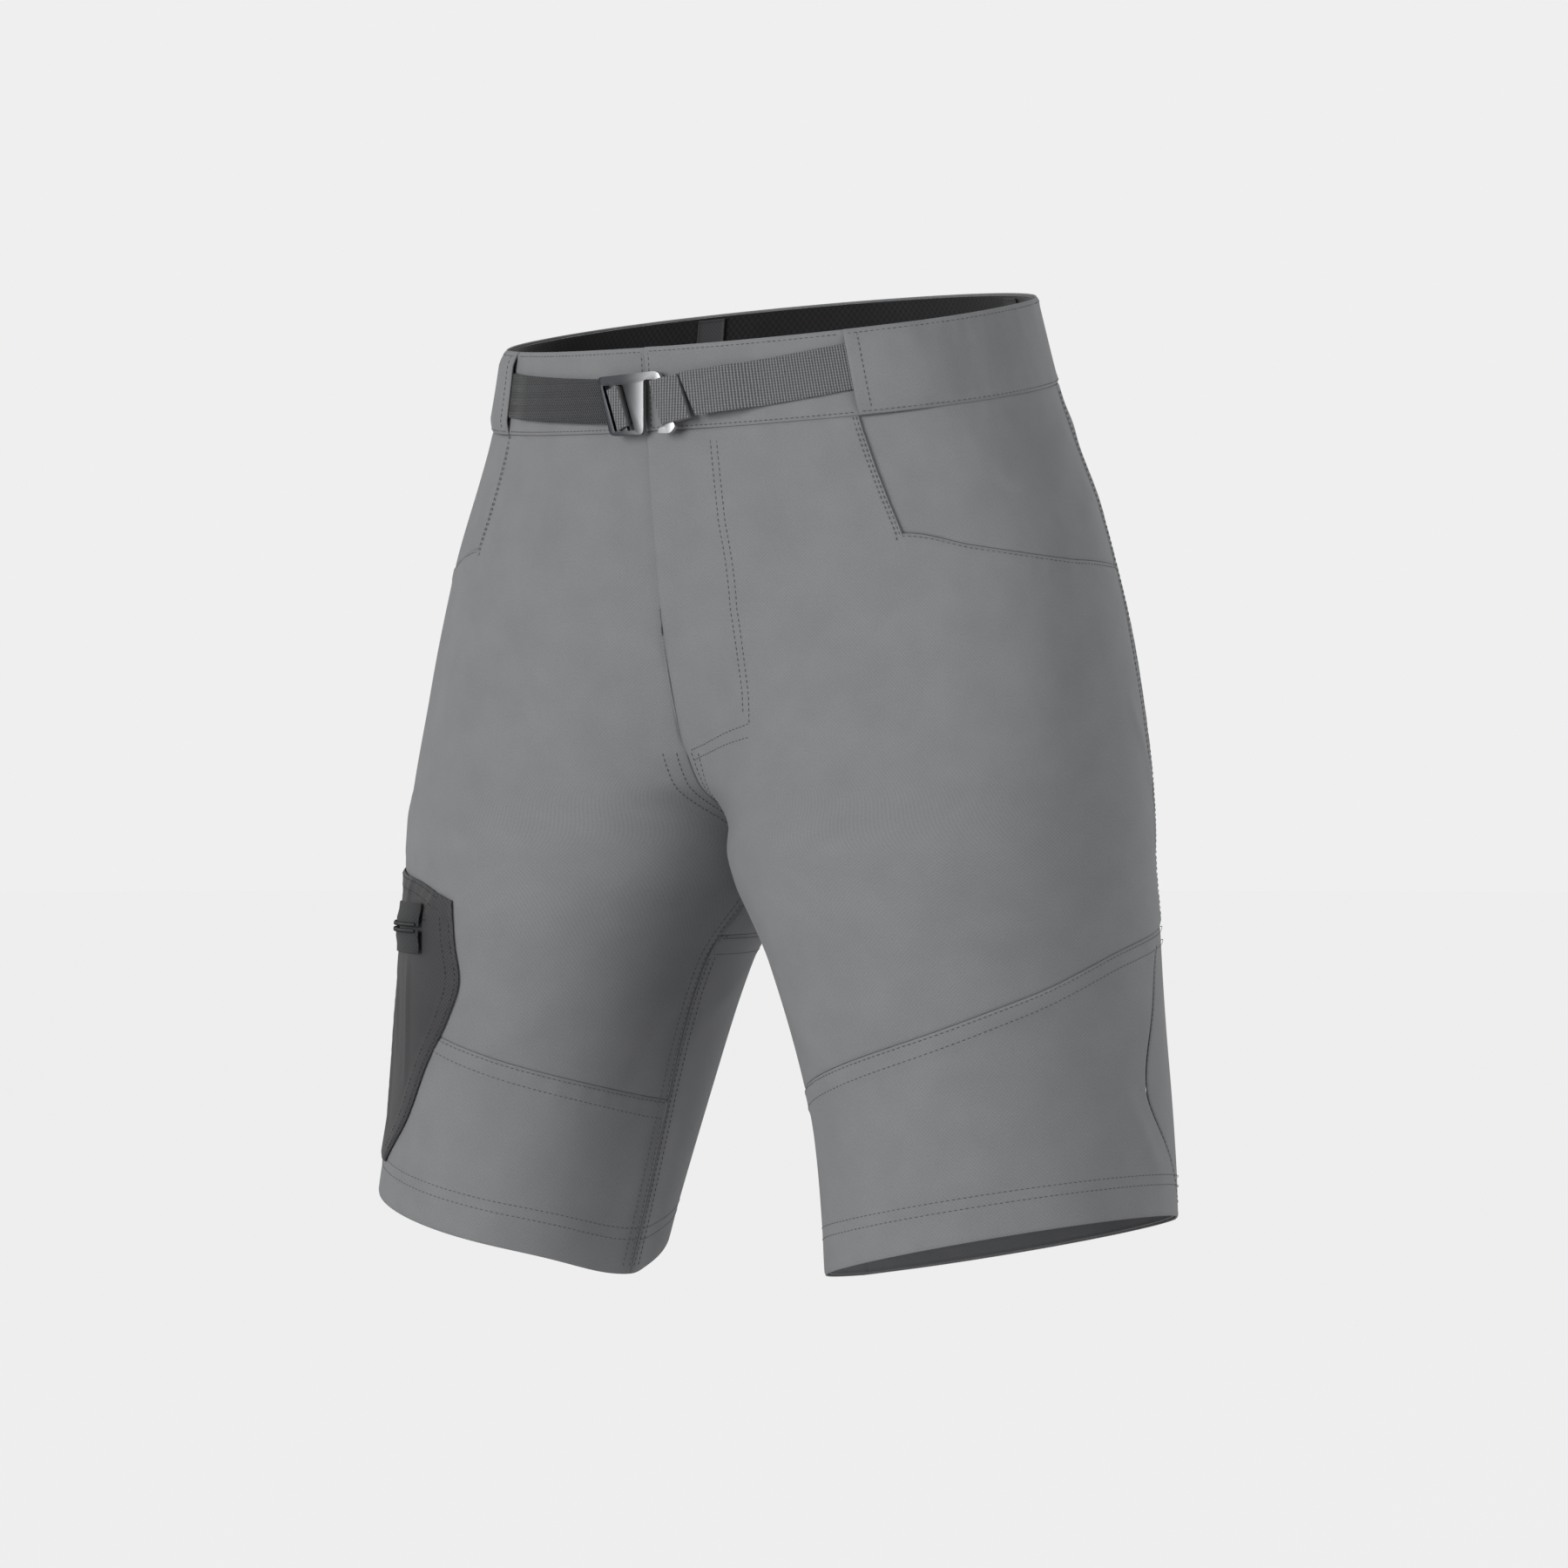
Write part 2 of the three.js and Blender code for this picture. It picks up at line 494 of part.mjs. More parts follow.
add('fly_shield', shell(9, 12, (u, v, w) => {
  const p = shieldFace(mix(shield.right, shield.left, u), v < 0.25 ? mix(-shield.rise, -1, v * 4) : mix(-1, flyLength + shield.drop, (v - 0.25) / 0.75));
  p.y += shield.thick * (1 - w);
  return p;
}), mainCloth);

// Press stud at the waistband, between the lining and the shield.
const disc = (radius, from, to) => new THREE.LatheGeometry(
  [[0, from], [radius, from], [radius, to], [0, to]].map(([x, y]) => new THREE.Vector2(x, y)), 20);
const studFrame = (y) => new THREE.Matrix4().makeTranslation(stud.x, y, studAt.z);
const socketFace = studAt.y + 2 * clearance + stud.capThick, ringFace = studPlane - clearance;
add('press_socket', fromSolid(solid(disc(stud.capRadius, -stud.capThick, 0))
  .subtract(solid(disc(stud.postRadius + 0.3, -0.6, 1)))), steel, studFrame(socketFace));
add('press_stud', fromSolid(solid(disc(stud.capRadius - 0.5, -stud.capThick * 0.8, 0))
  .add(solid(disc(stud.postRadius - 0.3, -stud.capThick - 0.5, -0.2)))), steel, studFrame(ringFace));

// Thigh and back pocket zips: level arcs on the cloth.
const zipSeat = zip.tapeThick / 2 + zip.run + zip.plate + clearance;
const cargoTrack = arcTrack({ ...cargoZip, from: cargoZip.to, to: cargoZip.from }, cargoHeight + zipSeat);
zipOn('cargo', ['lower', 'upper'], cargoTrack, [0.7 - zipSeat, 0.7 - zipSeat]);
const rearTrack = arcTrack(rearZip, zipSeat);
zipOn('rear', ['lower', 'upper'], rearTrack, [1.2 - zipSeat, 1.2 - zipSeat]);

// ---------- belt ----------
// The strap heights over the waistband, and the line of each strap as q for a given s.
const strapLow = 0.6;
const tailTop = strapLow + webbing.thick;
const strapOver = tailTop + clearance;
const beltFace = Math.min(...[-0.5, 0, 0.5].map((t) => over(1, 0, beltLine.front + t * webbing.width, 0).y));
const buckleAt = over(1, 0, beltLine.front, 0).setY(beltFace).add(
  new THREE.Vector3(-buckle.offset, -strapOver - webbing.thick - clearance - buckle.thick / 2, -buckle.drop));
const strapMiddle = {
  left: (s) => mix(beltLine.front, beltLine.leftMouth, s / tunnelMouth),
  right: (s) => mix(beltLine.front, beltLine.rightMouth, s / tunnelMouth),
};

function strap(word, side, from, to, low) {
  const place = (u, v, w) => {
    const across = mix(-webbing.width / 2, webbing.width / 2, v);
    const s = mix(call(from, beltLine.front + across), to, u);
    const q = strapMiddle[word](s) + across;
    return over(side, s, q, call(low, s) + webbing.thick * w);
  };
  return shell(18, 1, place, side < 0);
}

// The buckle's own plane: x along the belt towards the wearer's left, y up, z out of the garment.
const forward = new THREE.Vector3(0, -1, 0);
const buckleFrame = frame(new THREE.Vector3(1, 0, 0), new THREE.Vector3(0, 0, 1), forward, buckleAt);
const top = buckle.height / 2, left = -buckle.bodyWidth + 11.7, right = 11.7;
const armEnd = right + buckle.armReach, lean = buckle.slant / 24;
const armLow = top - 3.8;
const barLeft = (y) => armEnd - buckle.barWidth + (armLow - y) * lean;
const plateShape = outline([
  [left, top - 1, 3], [armEnd, top + 0.7, 6], [armEnd, armLow, 0],
  [barLeft(-10) + buckle.barWidth, -10, 0], [barLeft(-13) + buckle.barWidth + 1, -13, 1.5],
  [barLeft(-16.6) + 2.5, -16.6, 2], [barLeft(-15) - 6, -16.4, 1.2], [barLeft(-13.3) - 4.5, -13.5, 1],
  [barLeft(-12.8), -12.8, 0.3], [barLeft(armLow), armLow, 0.5],
  [right, armLow, 1.5], [right, -top, 3], [left + 9, -top, 3.5],
]);
const slot = { left: left + 3.5, width: 14, top: top - 5.8, bottom: -top + 2.4, bar: 4.2 };
const slanted = (a, b) => outline([
  [a, slot.top, 0.5], [a + (slot.top - slot.bottom) * lean, slot.bottom, 0.5],
  [b + (slot.top - slot.bottom) * lean, slot.bottom, 0.5], [b, slot.top, 0.5]]);
const slotGap = (slot.width - slot.bar) / 2;
add('buckle', extruded(plateShape, buckle.thick, [
  slanted(slot.left, slot.left + slotGap), slanted(slot.left + slotGap + slot.bar, slot.left + slot.width),
]), gunmetal, buckleFrame);

// Webbing folded over a slanted bar of the buckle: a sleeve round the bar, extruded along it.
function sleeve(middleX, middleY, inner, tailLength) {
  const half = inner / 2 + clearance, deep = buckle.thick / 2 + clearance;
  const wall = webbing.thick;
  const shape = outline([
    [-half - wall, -deep - wall, wall], [half + wall, -deep - wall, wall], [tailLength, -wall, 0],
    [tailLength, wall, 0], [half + wall, deep + wall, wall], [-half - wall, deep + wall, wall]]);
  const hole = outline([[-half, -deep, 0.4], [half, -deep, 0.4], [half, deep, 0.4], [-half, deep, 0.4]]);
  const axis = new THREE.Vector3(lean, -1, 0).normalize();
  const xAxis = new THREE.Vector3(1, buckle.pull, 0).normalize();
  const geometry = extruded(shape, webbing.width, [hole]);
  geometry.applyMatrix4(frame(xAxis, new THREE.Vector3().crossVectors(axis, xAxis), axis, new THREE.Vector3(middleX, middleY, 0)));
  return geometry;
}

// Left strap: a loop round the hook's bar, sewn down on itself, then along the waistband.
const hookMiddle = barLeft(0) + buckle.barWidth / 2;
const loopTail = 14;
const loopLift = 0.7;
add('strap_loop', sleeve(hookMiddle - loopLift * lean, loopLift, buckle.barWidth * Math.cos(Math.atan(lean)), loopTail),
  belt, buckleFrame);
const flexGap = 0.5;           // between the loop and the strap it is sewn to, where the webbing flexes
const strapStart = (q) => (buckleAt.x + hookMiddle + loopTail + flexGap + (beltLine.front - q) * -lean) / spread(0.05, 30);
const loopHeight = over(1, strapStart(beltLine.front), beltLine.front, 0).y - buckleAt.y - webbing.thick / 2;
const sewnHeight = (s) => mix(loopHeight, strapLow, ease((s - 0.09) / 0.06));
add('strap_left', strap('left', 1, strapStart, strapAnchor, sewnHeight), belt);

// Right strap: from under the buckle's middle bar, over the tail, to the tunnel.
const turnMiddle = (slot.top + slot.bottom) / 2;
const turnAt = new THREE.Vector3(slot.left + slotGap + slot.bar / 2 + (slot.top - turnMiddle) * lean, turnMiddle, 0);
const rightStart = (q) => -(buckleAt.x + turnAt.x + (q - beltLine.front) * lean) / spread(0.05, 30);
const rightHeight = (s) => mix(strapOver, strapLow, ease((s - 0.19) / 0.04));
add('strap_right', strap('right', -1, rightStart, strapAnchor, rightHeight), belt);
add('strap_tail', strap('right', -1, rightStart, 0.175, strapLow), belt);

// The turn of webbing over the buckle's middle bar, which tilts with the buckle.
const turnWall = webbing.thick, turnHalf = slot.bar / 2 + clearance;
const turnOuter = outline([
  [-turnHalf - turnWall, -buckle.thick / 2 - clearance, 0], [-turnHalf, -buckle.thick / 2 - clearance, 0],
  [-turnHalf, buckle.thick / 2 + clearance, 0.4], [turnHalf, buckle.thick / 2 + clearance, 0.4],
  [turnHalf, -buckle.thick / 2 - clearance, 0], [turnHalf + turnWall, -buckle.thick / 2 - clearance, 0],
  [turnHalf + turnWall, buckle.thick / 2 + clearance + turnWall, 1], [-turnHalf - turnWall, buckle.thick / 2 + clearance + turnWall, 1],
]);
const turnAcross = new THREE.Vector3(1, lean, 0).normalize();
const turnUp = new THREE.Vector3(0, 0, 1);
const turnFrame = frame(turnAcross, turnUp, new THREE.Vector3().crossVectors(turnAcross, turnUp), turnAt);
add('strap_turn', extruded(turnOuter, slot.top - slot.bottom - 1.6).applyMatrix4(turnFrame), belt, buckleFrame);

export default shorts;
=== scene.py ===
import json
import math

import bmesh
import bpy
import numpy as np
from mathutils import Matrix, Vector


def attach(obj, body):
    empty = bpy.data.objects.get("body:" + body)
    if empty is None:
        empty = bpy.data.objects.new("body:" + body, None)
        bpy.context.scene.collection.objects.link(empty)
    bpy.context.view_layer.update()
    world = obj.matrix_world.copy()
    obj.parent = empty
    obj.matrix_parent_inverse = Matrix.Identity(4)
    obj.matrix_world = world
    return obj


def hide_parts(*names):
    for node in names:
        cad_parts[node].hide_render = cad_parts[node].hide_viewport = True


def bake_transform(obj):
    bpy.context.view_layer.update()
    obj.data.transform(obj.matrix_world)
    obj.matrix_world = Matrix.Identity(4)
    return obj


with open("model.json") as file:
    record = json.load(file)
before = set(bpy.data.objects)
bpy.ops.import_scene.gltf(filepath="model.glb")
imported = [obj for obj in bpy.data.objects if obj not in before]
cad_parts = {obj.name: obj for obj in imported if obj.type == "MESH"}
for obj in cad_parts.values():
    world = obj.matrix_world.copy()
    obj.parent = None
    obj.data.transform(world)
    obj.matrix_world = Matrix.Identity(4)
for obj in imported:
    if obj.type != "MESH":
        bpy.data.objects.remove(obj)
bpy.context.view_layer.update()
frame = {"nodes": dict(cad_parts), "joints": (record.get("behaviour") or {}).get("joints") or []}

mm = 0.001

# The garment's surface, as the CAD lays it out: s runs round each half from the front middle (0) to the
# back middle (1), q runs down it in millimetres from the waist's top edge. The wearer's left is +X.
# Each list goes down the garment with the drops, and halfRound is the millimetres that s covers, about.
pattern = {
    "drop": [0, 47, 130, 195, 250, 292, 345, 415, 500],
    "halfWidth": [161, 174.5, 206, 220.5, 227.5, 230, 232.5, 239, 251.5],
    "front": [105, 102, 100, 104, 113, 121, 120, 120, 120],
    "back": [113, 119, 132, 142.5, 144.5, 136, 134, 134, 134],
    "legCentre": [80, 80, 85, 100, 112, 115, 135, 152, 167],
    "legMiddle": [0, 0, 2, 4, 6, 6, 2, 0, -10],
    "legDepth": [118, 118, 118, 118, 118, 116, 111, 102, 94],
    "fullAcross": [1, 1, 0.95, 0.91, 0.87, 0.83, 0.83, 0.83, 0.83],
    "fullDeep": [0.9, 0.9, 0.89, 0.87, 0.84, 0.8, 0.8, 0.8, 0.8],
    "splitFront": [0, 0, 0.06, 0.22, 0.46, 1, 1, 1, 1],
    "splitBack": [0, 0, 0, 0.03, 0.22, 1, 1, 1, 1],
    "sideRise": [0, 0, 0, 0, 0, 0, 0.073, 0.166, 0.23],
    "backRise": [0.195, 0.182, 0.12, 0.105, 0.055, 0.02, -0.015, -0.03, -0.02],
    "legTurn": [0, 0, 0, 0, 0, 0, 0.07, 0.097, 0.155],
    "middleGap": 0.4,
    "halfRound": 560,
}
hemCorner = {"drop": 9, "reach": 42, "from": 400, "run": 100}  # the right leg's hem hangs lower at its inseam
cloth = {"thick": 0.9, "ply": 0.8, "seamGap": 0.1, "step": 3.3}


def mix(a, b, t):
    return a + (b - a) * t


def ease(t):
    c = np.clip(t, 0, 1)
    return c * c * (3 - 2 * c)


def through(xs, ys, x):  # a curve through points that never overshoots them
    xs, ys = np.array(xs, float), np.array(ys, float)
    slope = np.diff(ys) / np.diff(xs)
    before, after = slope[:-1], slope[1:]
    both = np.where(before + after == 0, 1, before + after)
    inner = np.where(before * after > 0, 2 * before * after / both, 0)
    tangent = np.concatenate([[slope[0]], inner, [slope[-1]]])
    at = np.clip(np.asarray(x, float), xs[0], xs[-1])
    i = np.clip(np.searchsorted(xs, at) - 1, 0, len(xs) - 2)
    h = xs[i + 1] - xs[i]
    t = (at - xs[i]) / h
    return ((1 + 2 * t) * (1 - t) ** 2 * ys[i] + t * (1 - t) ** 2 * h * tangent[i]
            + t * t * (3 - 2 * t) * ys[i + 1] + t * t * (t - 1) * h * tangent[i + 1])


def surface(s, q):
    s, q = np.broadcast_arrays(np.asarray(s, float), np.asarray(q, float))
    rings = {name: values for name, values in pattern.items() if isinstance(values, list)}
    g = {name: through(pattern["drop"], values, q) for name, values in rings.items()}
    c = np.cos(np.pi * s)
    torsoX = g["halfWidth"] * np.maximum(np.sin(np.pi * s), 0) ** g["fullAcross"]
    torsoY = -np.where(c > 0, g["front"], g["back"]) * np.sign(c) * np.abs(c) ** g["fullDeep"]
    legX = g["legCentre"] - (g["halfWidth"] - g["legCentre"]) * np.cos(2 * np.pi * s)
    legY = g["legMiddle"] - g["legDepth"] * np.sin(2 * np.pi * s) + g["legTurn"] * (legX - g["legCentre"])
    w = mix(g["splitFront"], g["splitBack"], ease(s))
    x = np.maximum(mix(torsoX, legX, w), 0) + pattern["middleGap"] / 2
    y = mix(torsoY, legY, w)
    z = -q + g["backRise"] * y + g["sideRise"] * (x - g["legCentre"])
    return np.stack([x, y, z], axis=-1)


def over(side, s, q, height):  # points at a height over the surface
    step = 0.004
    at = np.clip(s, 0, 1)
    a, b = surface(np.clip(at - step, 0, 1), q), surface(np.clip(at + step, 0, 1), q)
    run = np.hypot(b[..., 0] - a[..., 0], b[..., 1] - a[..., 1])
    p = surface(at, q)
    p[..., 0] += height * (b[..., 1] - a[..., 1]) / run
    p[..., 1] -= height * (b[..., 0] - a[..., 0]) / run
    p[..., 0] = np.maximum(p[..., 0], pattern["middleGap"] / 2) * side
    inner = np.minimum(s, 1 - s) * pattern["halfRound"]
    lower = hemCorner["drop"] * np.exp(-((inner / hemCorner["reach"]) ** 2))
    lower = lower * ease((q - hemCorner["from"]) / hemCorner["run"])
    p[..., 2] -= np.where(np.asarray(side) < 0, lower, 0)
    return p


def spread(s, q):  # millimetres along the surface for each unit of s
    a, b = np.clip(s - 0.01, 0, 1), np.clip(s + 0.01, 0, 1)
    return np.linalg.norm(surface(b, q) - surface(a, q), axis=-1) / (b - a)


# The seams: curves are given as lists of s and q, single numbers are the s or the q that they run along.
seams = {
    "thigh": ([0, 0.1, 0.2, 0.3, 0.4, 0.5, 0.6], [416, 409, 402, 392, 374, 348, 333]),
    "hip": ([0, 0.262, 0.34, 0.44, 0.6], [114, 114, 123, 132, 143]),
    "mouth": ([0.244, 0.248, 0.254, 0.262], [47, 69, 93, 114]),
    "kite": ([333, 345, 383, 430, 473, 500], [0.01, 0.036, 0.056, 0.082, 0.037, 0.012]),
    "waist": 47, "side": 0.6, "backThigh": 333, "hem": 500, "hemDepth": 25,
}


def thighSeam(s):
    return through(*seams["thigh"], s)


def hipSeam(s):
    return through(*seams["hip"], s)


def frontTop(s):
    start, end = seams["mouth"][0][0], seams["mouth"][0][-1]
    below = np.where(s < end, through(*seams["mouth"], s), hipSeam(s))
    return np.where(s < start, seams["waist"], below)


def kiteWidth(q):
    return through(*seams["kite"], q)


# Each fold: side (1 left, -1 right, 0 both), its two ends as (s, q), half width and height in millimetres.
folds = [
    (1, (0.41, 53), (0.50, 64), 2.6, 1.4),
    (1, (0.44, 52), (0.54, 58), 2.2, 1.2),
    (1, (0.36, 52), (0.43, 58), 2.0, 0.9),
    (1, (0.40, 84), (0.58, 72), 4.4, 2.0),
    (1, (0.40, 90), (0.46, 98), 3.2, 1.4),
    (1, (0.43, 104), (0.57, 97), 7.0, -1.2),
    (1, (0.52, 120), (0.60, 104), 6.0, 0.9),
    (0, (0.60, 170), (0.585, 300), 4.0, -2.0),
    (1, (0.55, 210), (0.60, 290), 5.0, 1.4),
    (-1, (0.034, 40), (0.028, 232), 14.0, -2.2),
    (-1, (0.045, 70), (0.05, 225), 17.0, 0.8),
    (0, (0.02, 268), (0.17, 236), 6.0, 1.1),
    (0, (0.02, 283), (0.16, 268), 5.0, -1.2),
    (0, (0.02, 296), (0.14, 312), 6.0, 1.0),
    (1, (0.035, 232), (0.05, 300), 5.0, 1.3),
    (1, (0.02, 300), (0.07, 410), 7.0, 0.9),
    (-1, (0.02, 300), (0.05, 420), 6.0, -0.9),
    (-1, (0.30, 310), (0.29, 262), 2.8, 1.3),
    (-1, (0.335, 306), (0.34, 250), 3.2, 1.4),
    (-1, (0.38, 304), (0.385, 255), 3.0, 1.3),
    (-1, (0.43, 299), (0.43, 268), 4.0, 0.7),
    (-1, (0.50, 300), (0.49, 262), 5.0, 0.8),
    (-1, (0.285, 312), (0.295, 338), 1.9, 1.1),
    (-1, (0.33, 306), (0.34, 332), 2.0, 1.2),
    (-1, (0.40, 352), (0.34, 462), 3.2, 1.8),
    (-1, (0.315, 352), (0.30, 432), 2.4, 1.3),
    (-1, (0.355, 352), (0.335, 420), 2.2, 1.1),
    (-1, (0.47, 352), (0.42, 472), 4.0, 1.8),
    (-1, (0.52, 318), (0.53, 345), 3.0, 1.0),
    (1, (0.47, 415), (0.53, 482), 6.0, 0.9),
    (1, (0.66, 380), (0.63, 470), 7.0, 0.9),
    (0, (0.80, 330), (0.97, 300), 9.0, -1.5),
    (0, (0.78, 318), (0.97, 282), 8.0, 1.4),
    (0, (0.72, 75), (0.62, 120), 9.0, 1.1),
    (0, (0.94, 62), (0.975, 150), 12.0, 1.0),
    (0, (0.90, 345), (0.99, 380), 8.0, 1.1),
    (0, (0.66, 60), (0.62, 78), 4.0, 0.9),
    (0, (0.16, 500), (0.14, 430), 14.0, 0.8),
]
swell = {"low": 0.35, "lowTurns": 9.0, "lowDrop": 31.0, "high": 0.3, "highTurns": 17.0, "highDrop": 47.0,
         "shift": 1.3, "from": 60, "fadeIn": 60, "fadeOut": 25}
inseam = {"right": 4.5, "left": -1.5, "reach": 15, "from": 330, "run": 130}


def drape(side, s, q):  # the folds' height at each point, with a slow swell of loose cloth
    p = surface(s, q)
    low = swell["low"] * np.sin(swell["lowTurns"] * s + q / swell["lowDrop"])
    total = low + swell["high"] * np.sin(swell["highTurns"] * s - q / swell["highDrop"] + swell["shift"])
    total = total * ease((q - swell["from"]) / swell["fadeIn"]) * ease((seams["hem"] - q) / swell["fadeOut"])
    inner = np.minimum(s, 1 - s) * spread(np.clip(s, 0.02, 0.98), q)
    bulge = np.where(side < 0, inseam["right"], inseam["left"]) * np.exp(-((inner / inseam["reach"]) ** 2))
    total = total + bulge * ease((q - inseam["from"]) / inseam["run"])
    for which, start, end, wide, tall in folds:
        a, b = surface(*start), surface(*end)
        t = np.clip(((p - a) @ (b - a)) / ((b - a) @ (b - a)), 0, 1)
        away = np.linalg.norm(p - a - t[..., None] * (b - a), axis=-1)
        taper = np.sin(np.pi * np.clip(t, 0.001, 0.999)) ** 0.6
        ridge = tall * taper * np.exp(-((away / wide) ** 2))
        total = total + np.where((side == which) | (which == 0), ridge, 0)
    return total


flyLap = {"end": 236, "run": 12, "over": 1.7, "overWidth": 18, "under": -0.9, "underWidth": 14}


def lap(side, s, q):  # the left front laps over the right down to the fly's end
    reach = ease((flyLap["end"] - q) / flyLap["run"])
    near = s * spread(s, q)
    left = flyLap["over"] * (1 - ease(near / flyLap["overWidth"]))
    right = flyLap["under"] * (1 - ease(near / flyLap["underWidth"]))
    return np.where(side > 0, left, right) * reach


def linear(code):  # an sRGB hex code as linear red, green, blue, alpha
    parts = [int(code[i:i + 2], 16) / 255 for i in (1, 3, 5)]
    return [c / 12.92 if c <= 0.04045 else ((c + 0.055) / 1.055) ** 2.4 for c in parts] + [1]


def addNode(tree, kind, settings=None, **inputs):
    node = tree.nodes.new(kind)
    for name, value in (settings or {}).items():
        setattr(node, name, value)
    for name, value in inputs.items():
        key = int(name[2:]) if name.startswith("in") and name[2:].isdigit() else name.replace("_", " ")
        socket = node.inputs[key]
        if isinstance(value, bpy.types.NodeSocket):
            tree.links.new(value, socket)
        else:
            socket.default_value = value
    return node


def newMaterial(name, **constants):
    material = bpy.data.materials.new(name)
    material.use_nodes = True
    tree = material.node_tree
    shader = tree.nodes["Principled BSDF"]
    for key, value in constants.items():
        shader.inputs[key.replace("_", " ")].default_value = value
    return material, tree, shader


def wovenCloth(name, warp, weft, threadMm, bump, roughness, sheen, patchy=0.06, coordinates="UV"):
    material, tree, shader = newMaterial(name, Sheen_Weight=sheen, Sheen_Roughness=0.5, Specular_IOR_Level=0.25)
    place = addNode(tree, "ShaderNodeTexCoord").outputs[coordinates]
    turns = 0.5 / (threadMm * mm)
    across = addNode(tree, "ShaderNodeMapping", in3=(turns, turns, turns), Vector=place).outputs[0]
    checks = addNode(tree, "ShaderNodeTexChecker", Vector=across, Scale=1.0)
    fine = addNode(tree, "ShaderNodeTexNoise", Vector=place, Scale=1 / (2.4 * threadMm * mm),
                   Detail=2.0, Roughness=0.6)
    slow = addNode(tree, "ShaderNodeTexNoise", Vector=place, Scale=34.0, Detail=3.0, Roughness=0.55)
    yarn = addNode(tree, "ShaderNodeMix", {"data_type": "RGBA"},
                   in0=checks.outputs["Fac"], in6=linear(warp), in7=linear(weft))
    tone = addNode(tree, "ShaderNodeMapRange", Value=slow.outputs["Fac"],
                   From_Min=0.3, From_Max=0.7, To_Min=1 - patchy, To_Max=1 + patchy)
    grain = addNode(tree, "ShaderNodeMapRange", Value=fine.outputs["Fac"],
                    From_Min=0.2, From_Max=0.8, To_Min=0.93, To_Max=1.07)
    both = addNode(tree, "ShaderNodeMath", {"operation": "MULTIPLY"}, in0=tone.outputs[0], in1=grain.outputs[0])
    shade = addNode(tree, "ShaderNodeVectorMath", {"operation": "SCALE"},
                    in0=yarn.outputs[2], Scale=both.outputs[0])
    tree.links.new(shade.outputs[0], shader.inputs["Base Color"])
    rough = addNode(tree, "ShaderNodeMapRange", Value=slow.outputs["Fac"],
                    To_Min=roughness - 0.05, To_Max=roughness + 0.05)
    tree.links.new(rough.outputs[0], shader.inputs["Roughness"])
    height = addNode(tree, "ShaderNodeMath", {"operation": "MULTIPLY_ADD"},
                     in0=checks.outputs["Fac"], in1=0.2, in2=fine.outputs["Fac"])
    dent = addNode(tree, "ShaderNodeBump", Strength=bump, Distance=0.12 * mm, Height=height.outputs[0])
    tree.links.new(dent.outputs[0], shader.inputs["Normal"])
    return material


def webbingMaterial(name, dark, light, ribMm, slant, herringbone):
    # Woven polyester webbing: ribs straight across the strap, or ribs that lean to and fro as a herringbone.
    material, tree, shader = newMaterial(name, Roughness=0.7, Sheen_Weight=0.15, Sheen_Roughness=0.4,
                                         Specular_IOR_Level=0.3)
    place = addNode(tree, "ShaderNodeTexCoord").outputs["UV"]
    parts = addNode(tree, "ShaderNodeSeparateXYZ", Vector=place)
    along, across = parts.outputs[0], parts.outputs[1]
    if herringbone:
        zigzag = addNode(tree, "ShaderNodeMath", {"operation": "PINGPONG"}, in0=across, in1=2.2 * ribMm * mm)
        across = zigzag.outputs[0]
    lean = addNode(tree, "ShaderNodeMath", {"operation": "MULTIPLY"}, in0=across, in1=slant)
    ribAt = addNode(tree, "ShaderNodeMath", {"operation": "ADD"}, in0=along, in1=lean.outputs[0])
    turn = addNode(tree, "ShaderNodeMath", {"operation": "MULTIPLY"},
                   in0=ribAt.outputs[0], in1=2 * math.pi / (ribMm * mm))
    wave = addNode(tree, "ShaderNodeMath", {"operation": "SINE"}, in0=turn.outputs[0])
    threads = addNode(tree, "ShaderNodeMath", {"operation": "MULTIPLY"},
                      in0=parts.outputs[1], in1=2 * math.pi / (1.5 * mm))
    crossing = addNode(tree, "ShaderNodeMath", {"operation": "SINE"}, in0=threads.outputs[0])
    worn = addNode(tree, "ShaderNodeTexNoise", Vector=place, Scale=900.0, Detail=3.0)
    mixed = addNode(tree, "ShaderNodeMath", {"operation": "MULTIPLY_ADD"},
                    in0=crossing.outputs[0], in1=0.4, in2=wave.outputs[0])
    level = addNode(tree, "ShaderNodeMapRange", Value=mixed.outputs[0],
                    From_Min=-1.1, From_Max=1.1, To_Min=0.0, To_Max=0.8)
    blotted = addNode(tree, "ShaderNodeMath", {"operation": "MULTIPLY_ADD"},
                      in0=worn.outputs["Fac"], in1=0.35, in2=level.outputs[0])
    colour = addNode(tree, "ShaderNodeMix", {"data_type": "RGBA"},
                     in0=blotted.outputs[0], in6=linear(dark), in7=linear(light))
    tree.links.new(colour.outputs[2], shader.inputs["Base Color"])
    dent = addNode(tree, "ShaderNodeBump", Strength=0.9, Distance=0.28 * mm, Height=mixed.outputs[0])
    tree.links.new(dent.outputs[0], shader.inputs["Normal"])
    return material


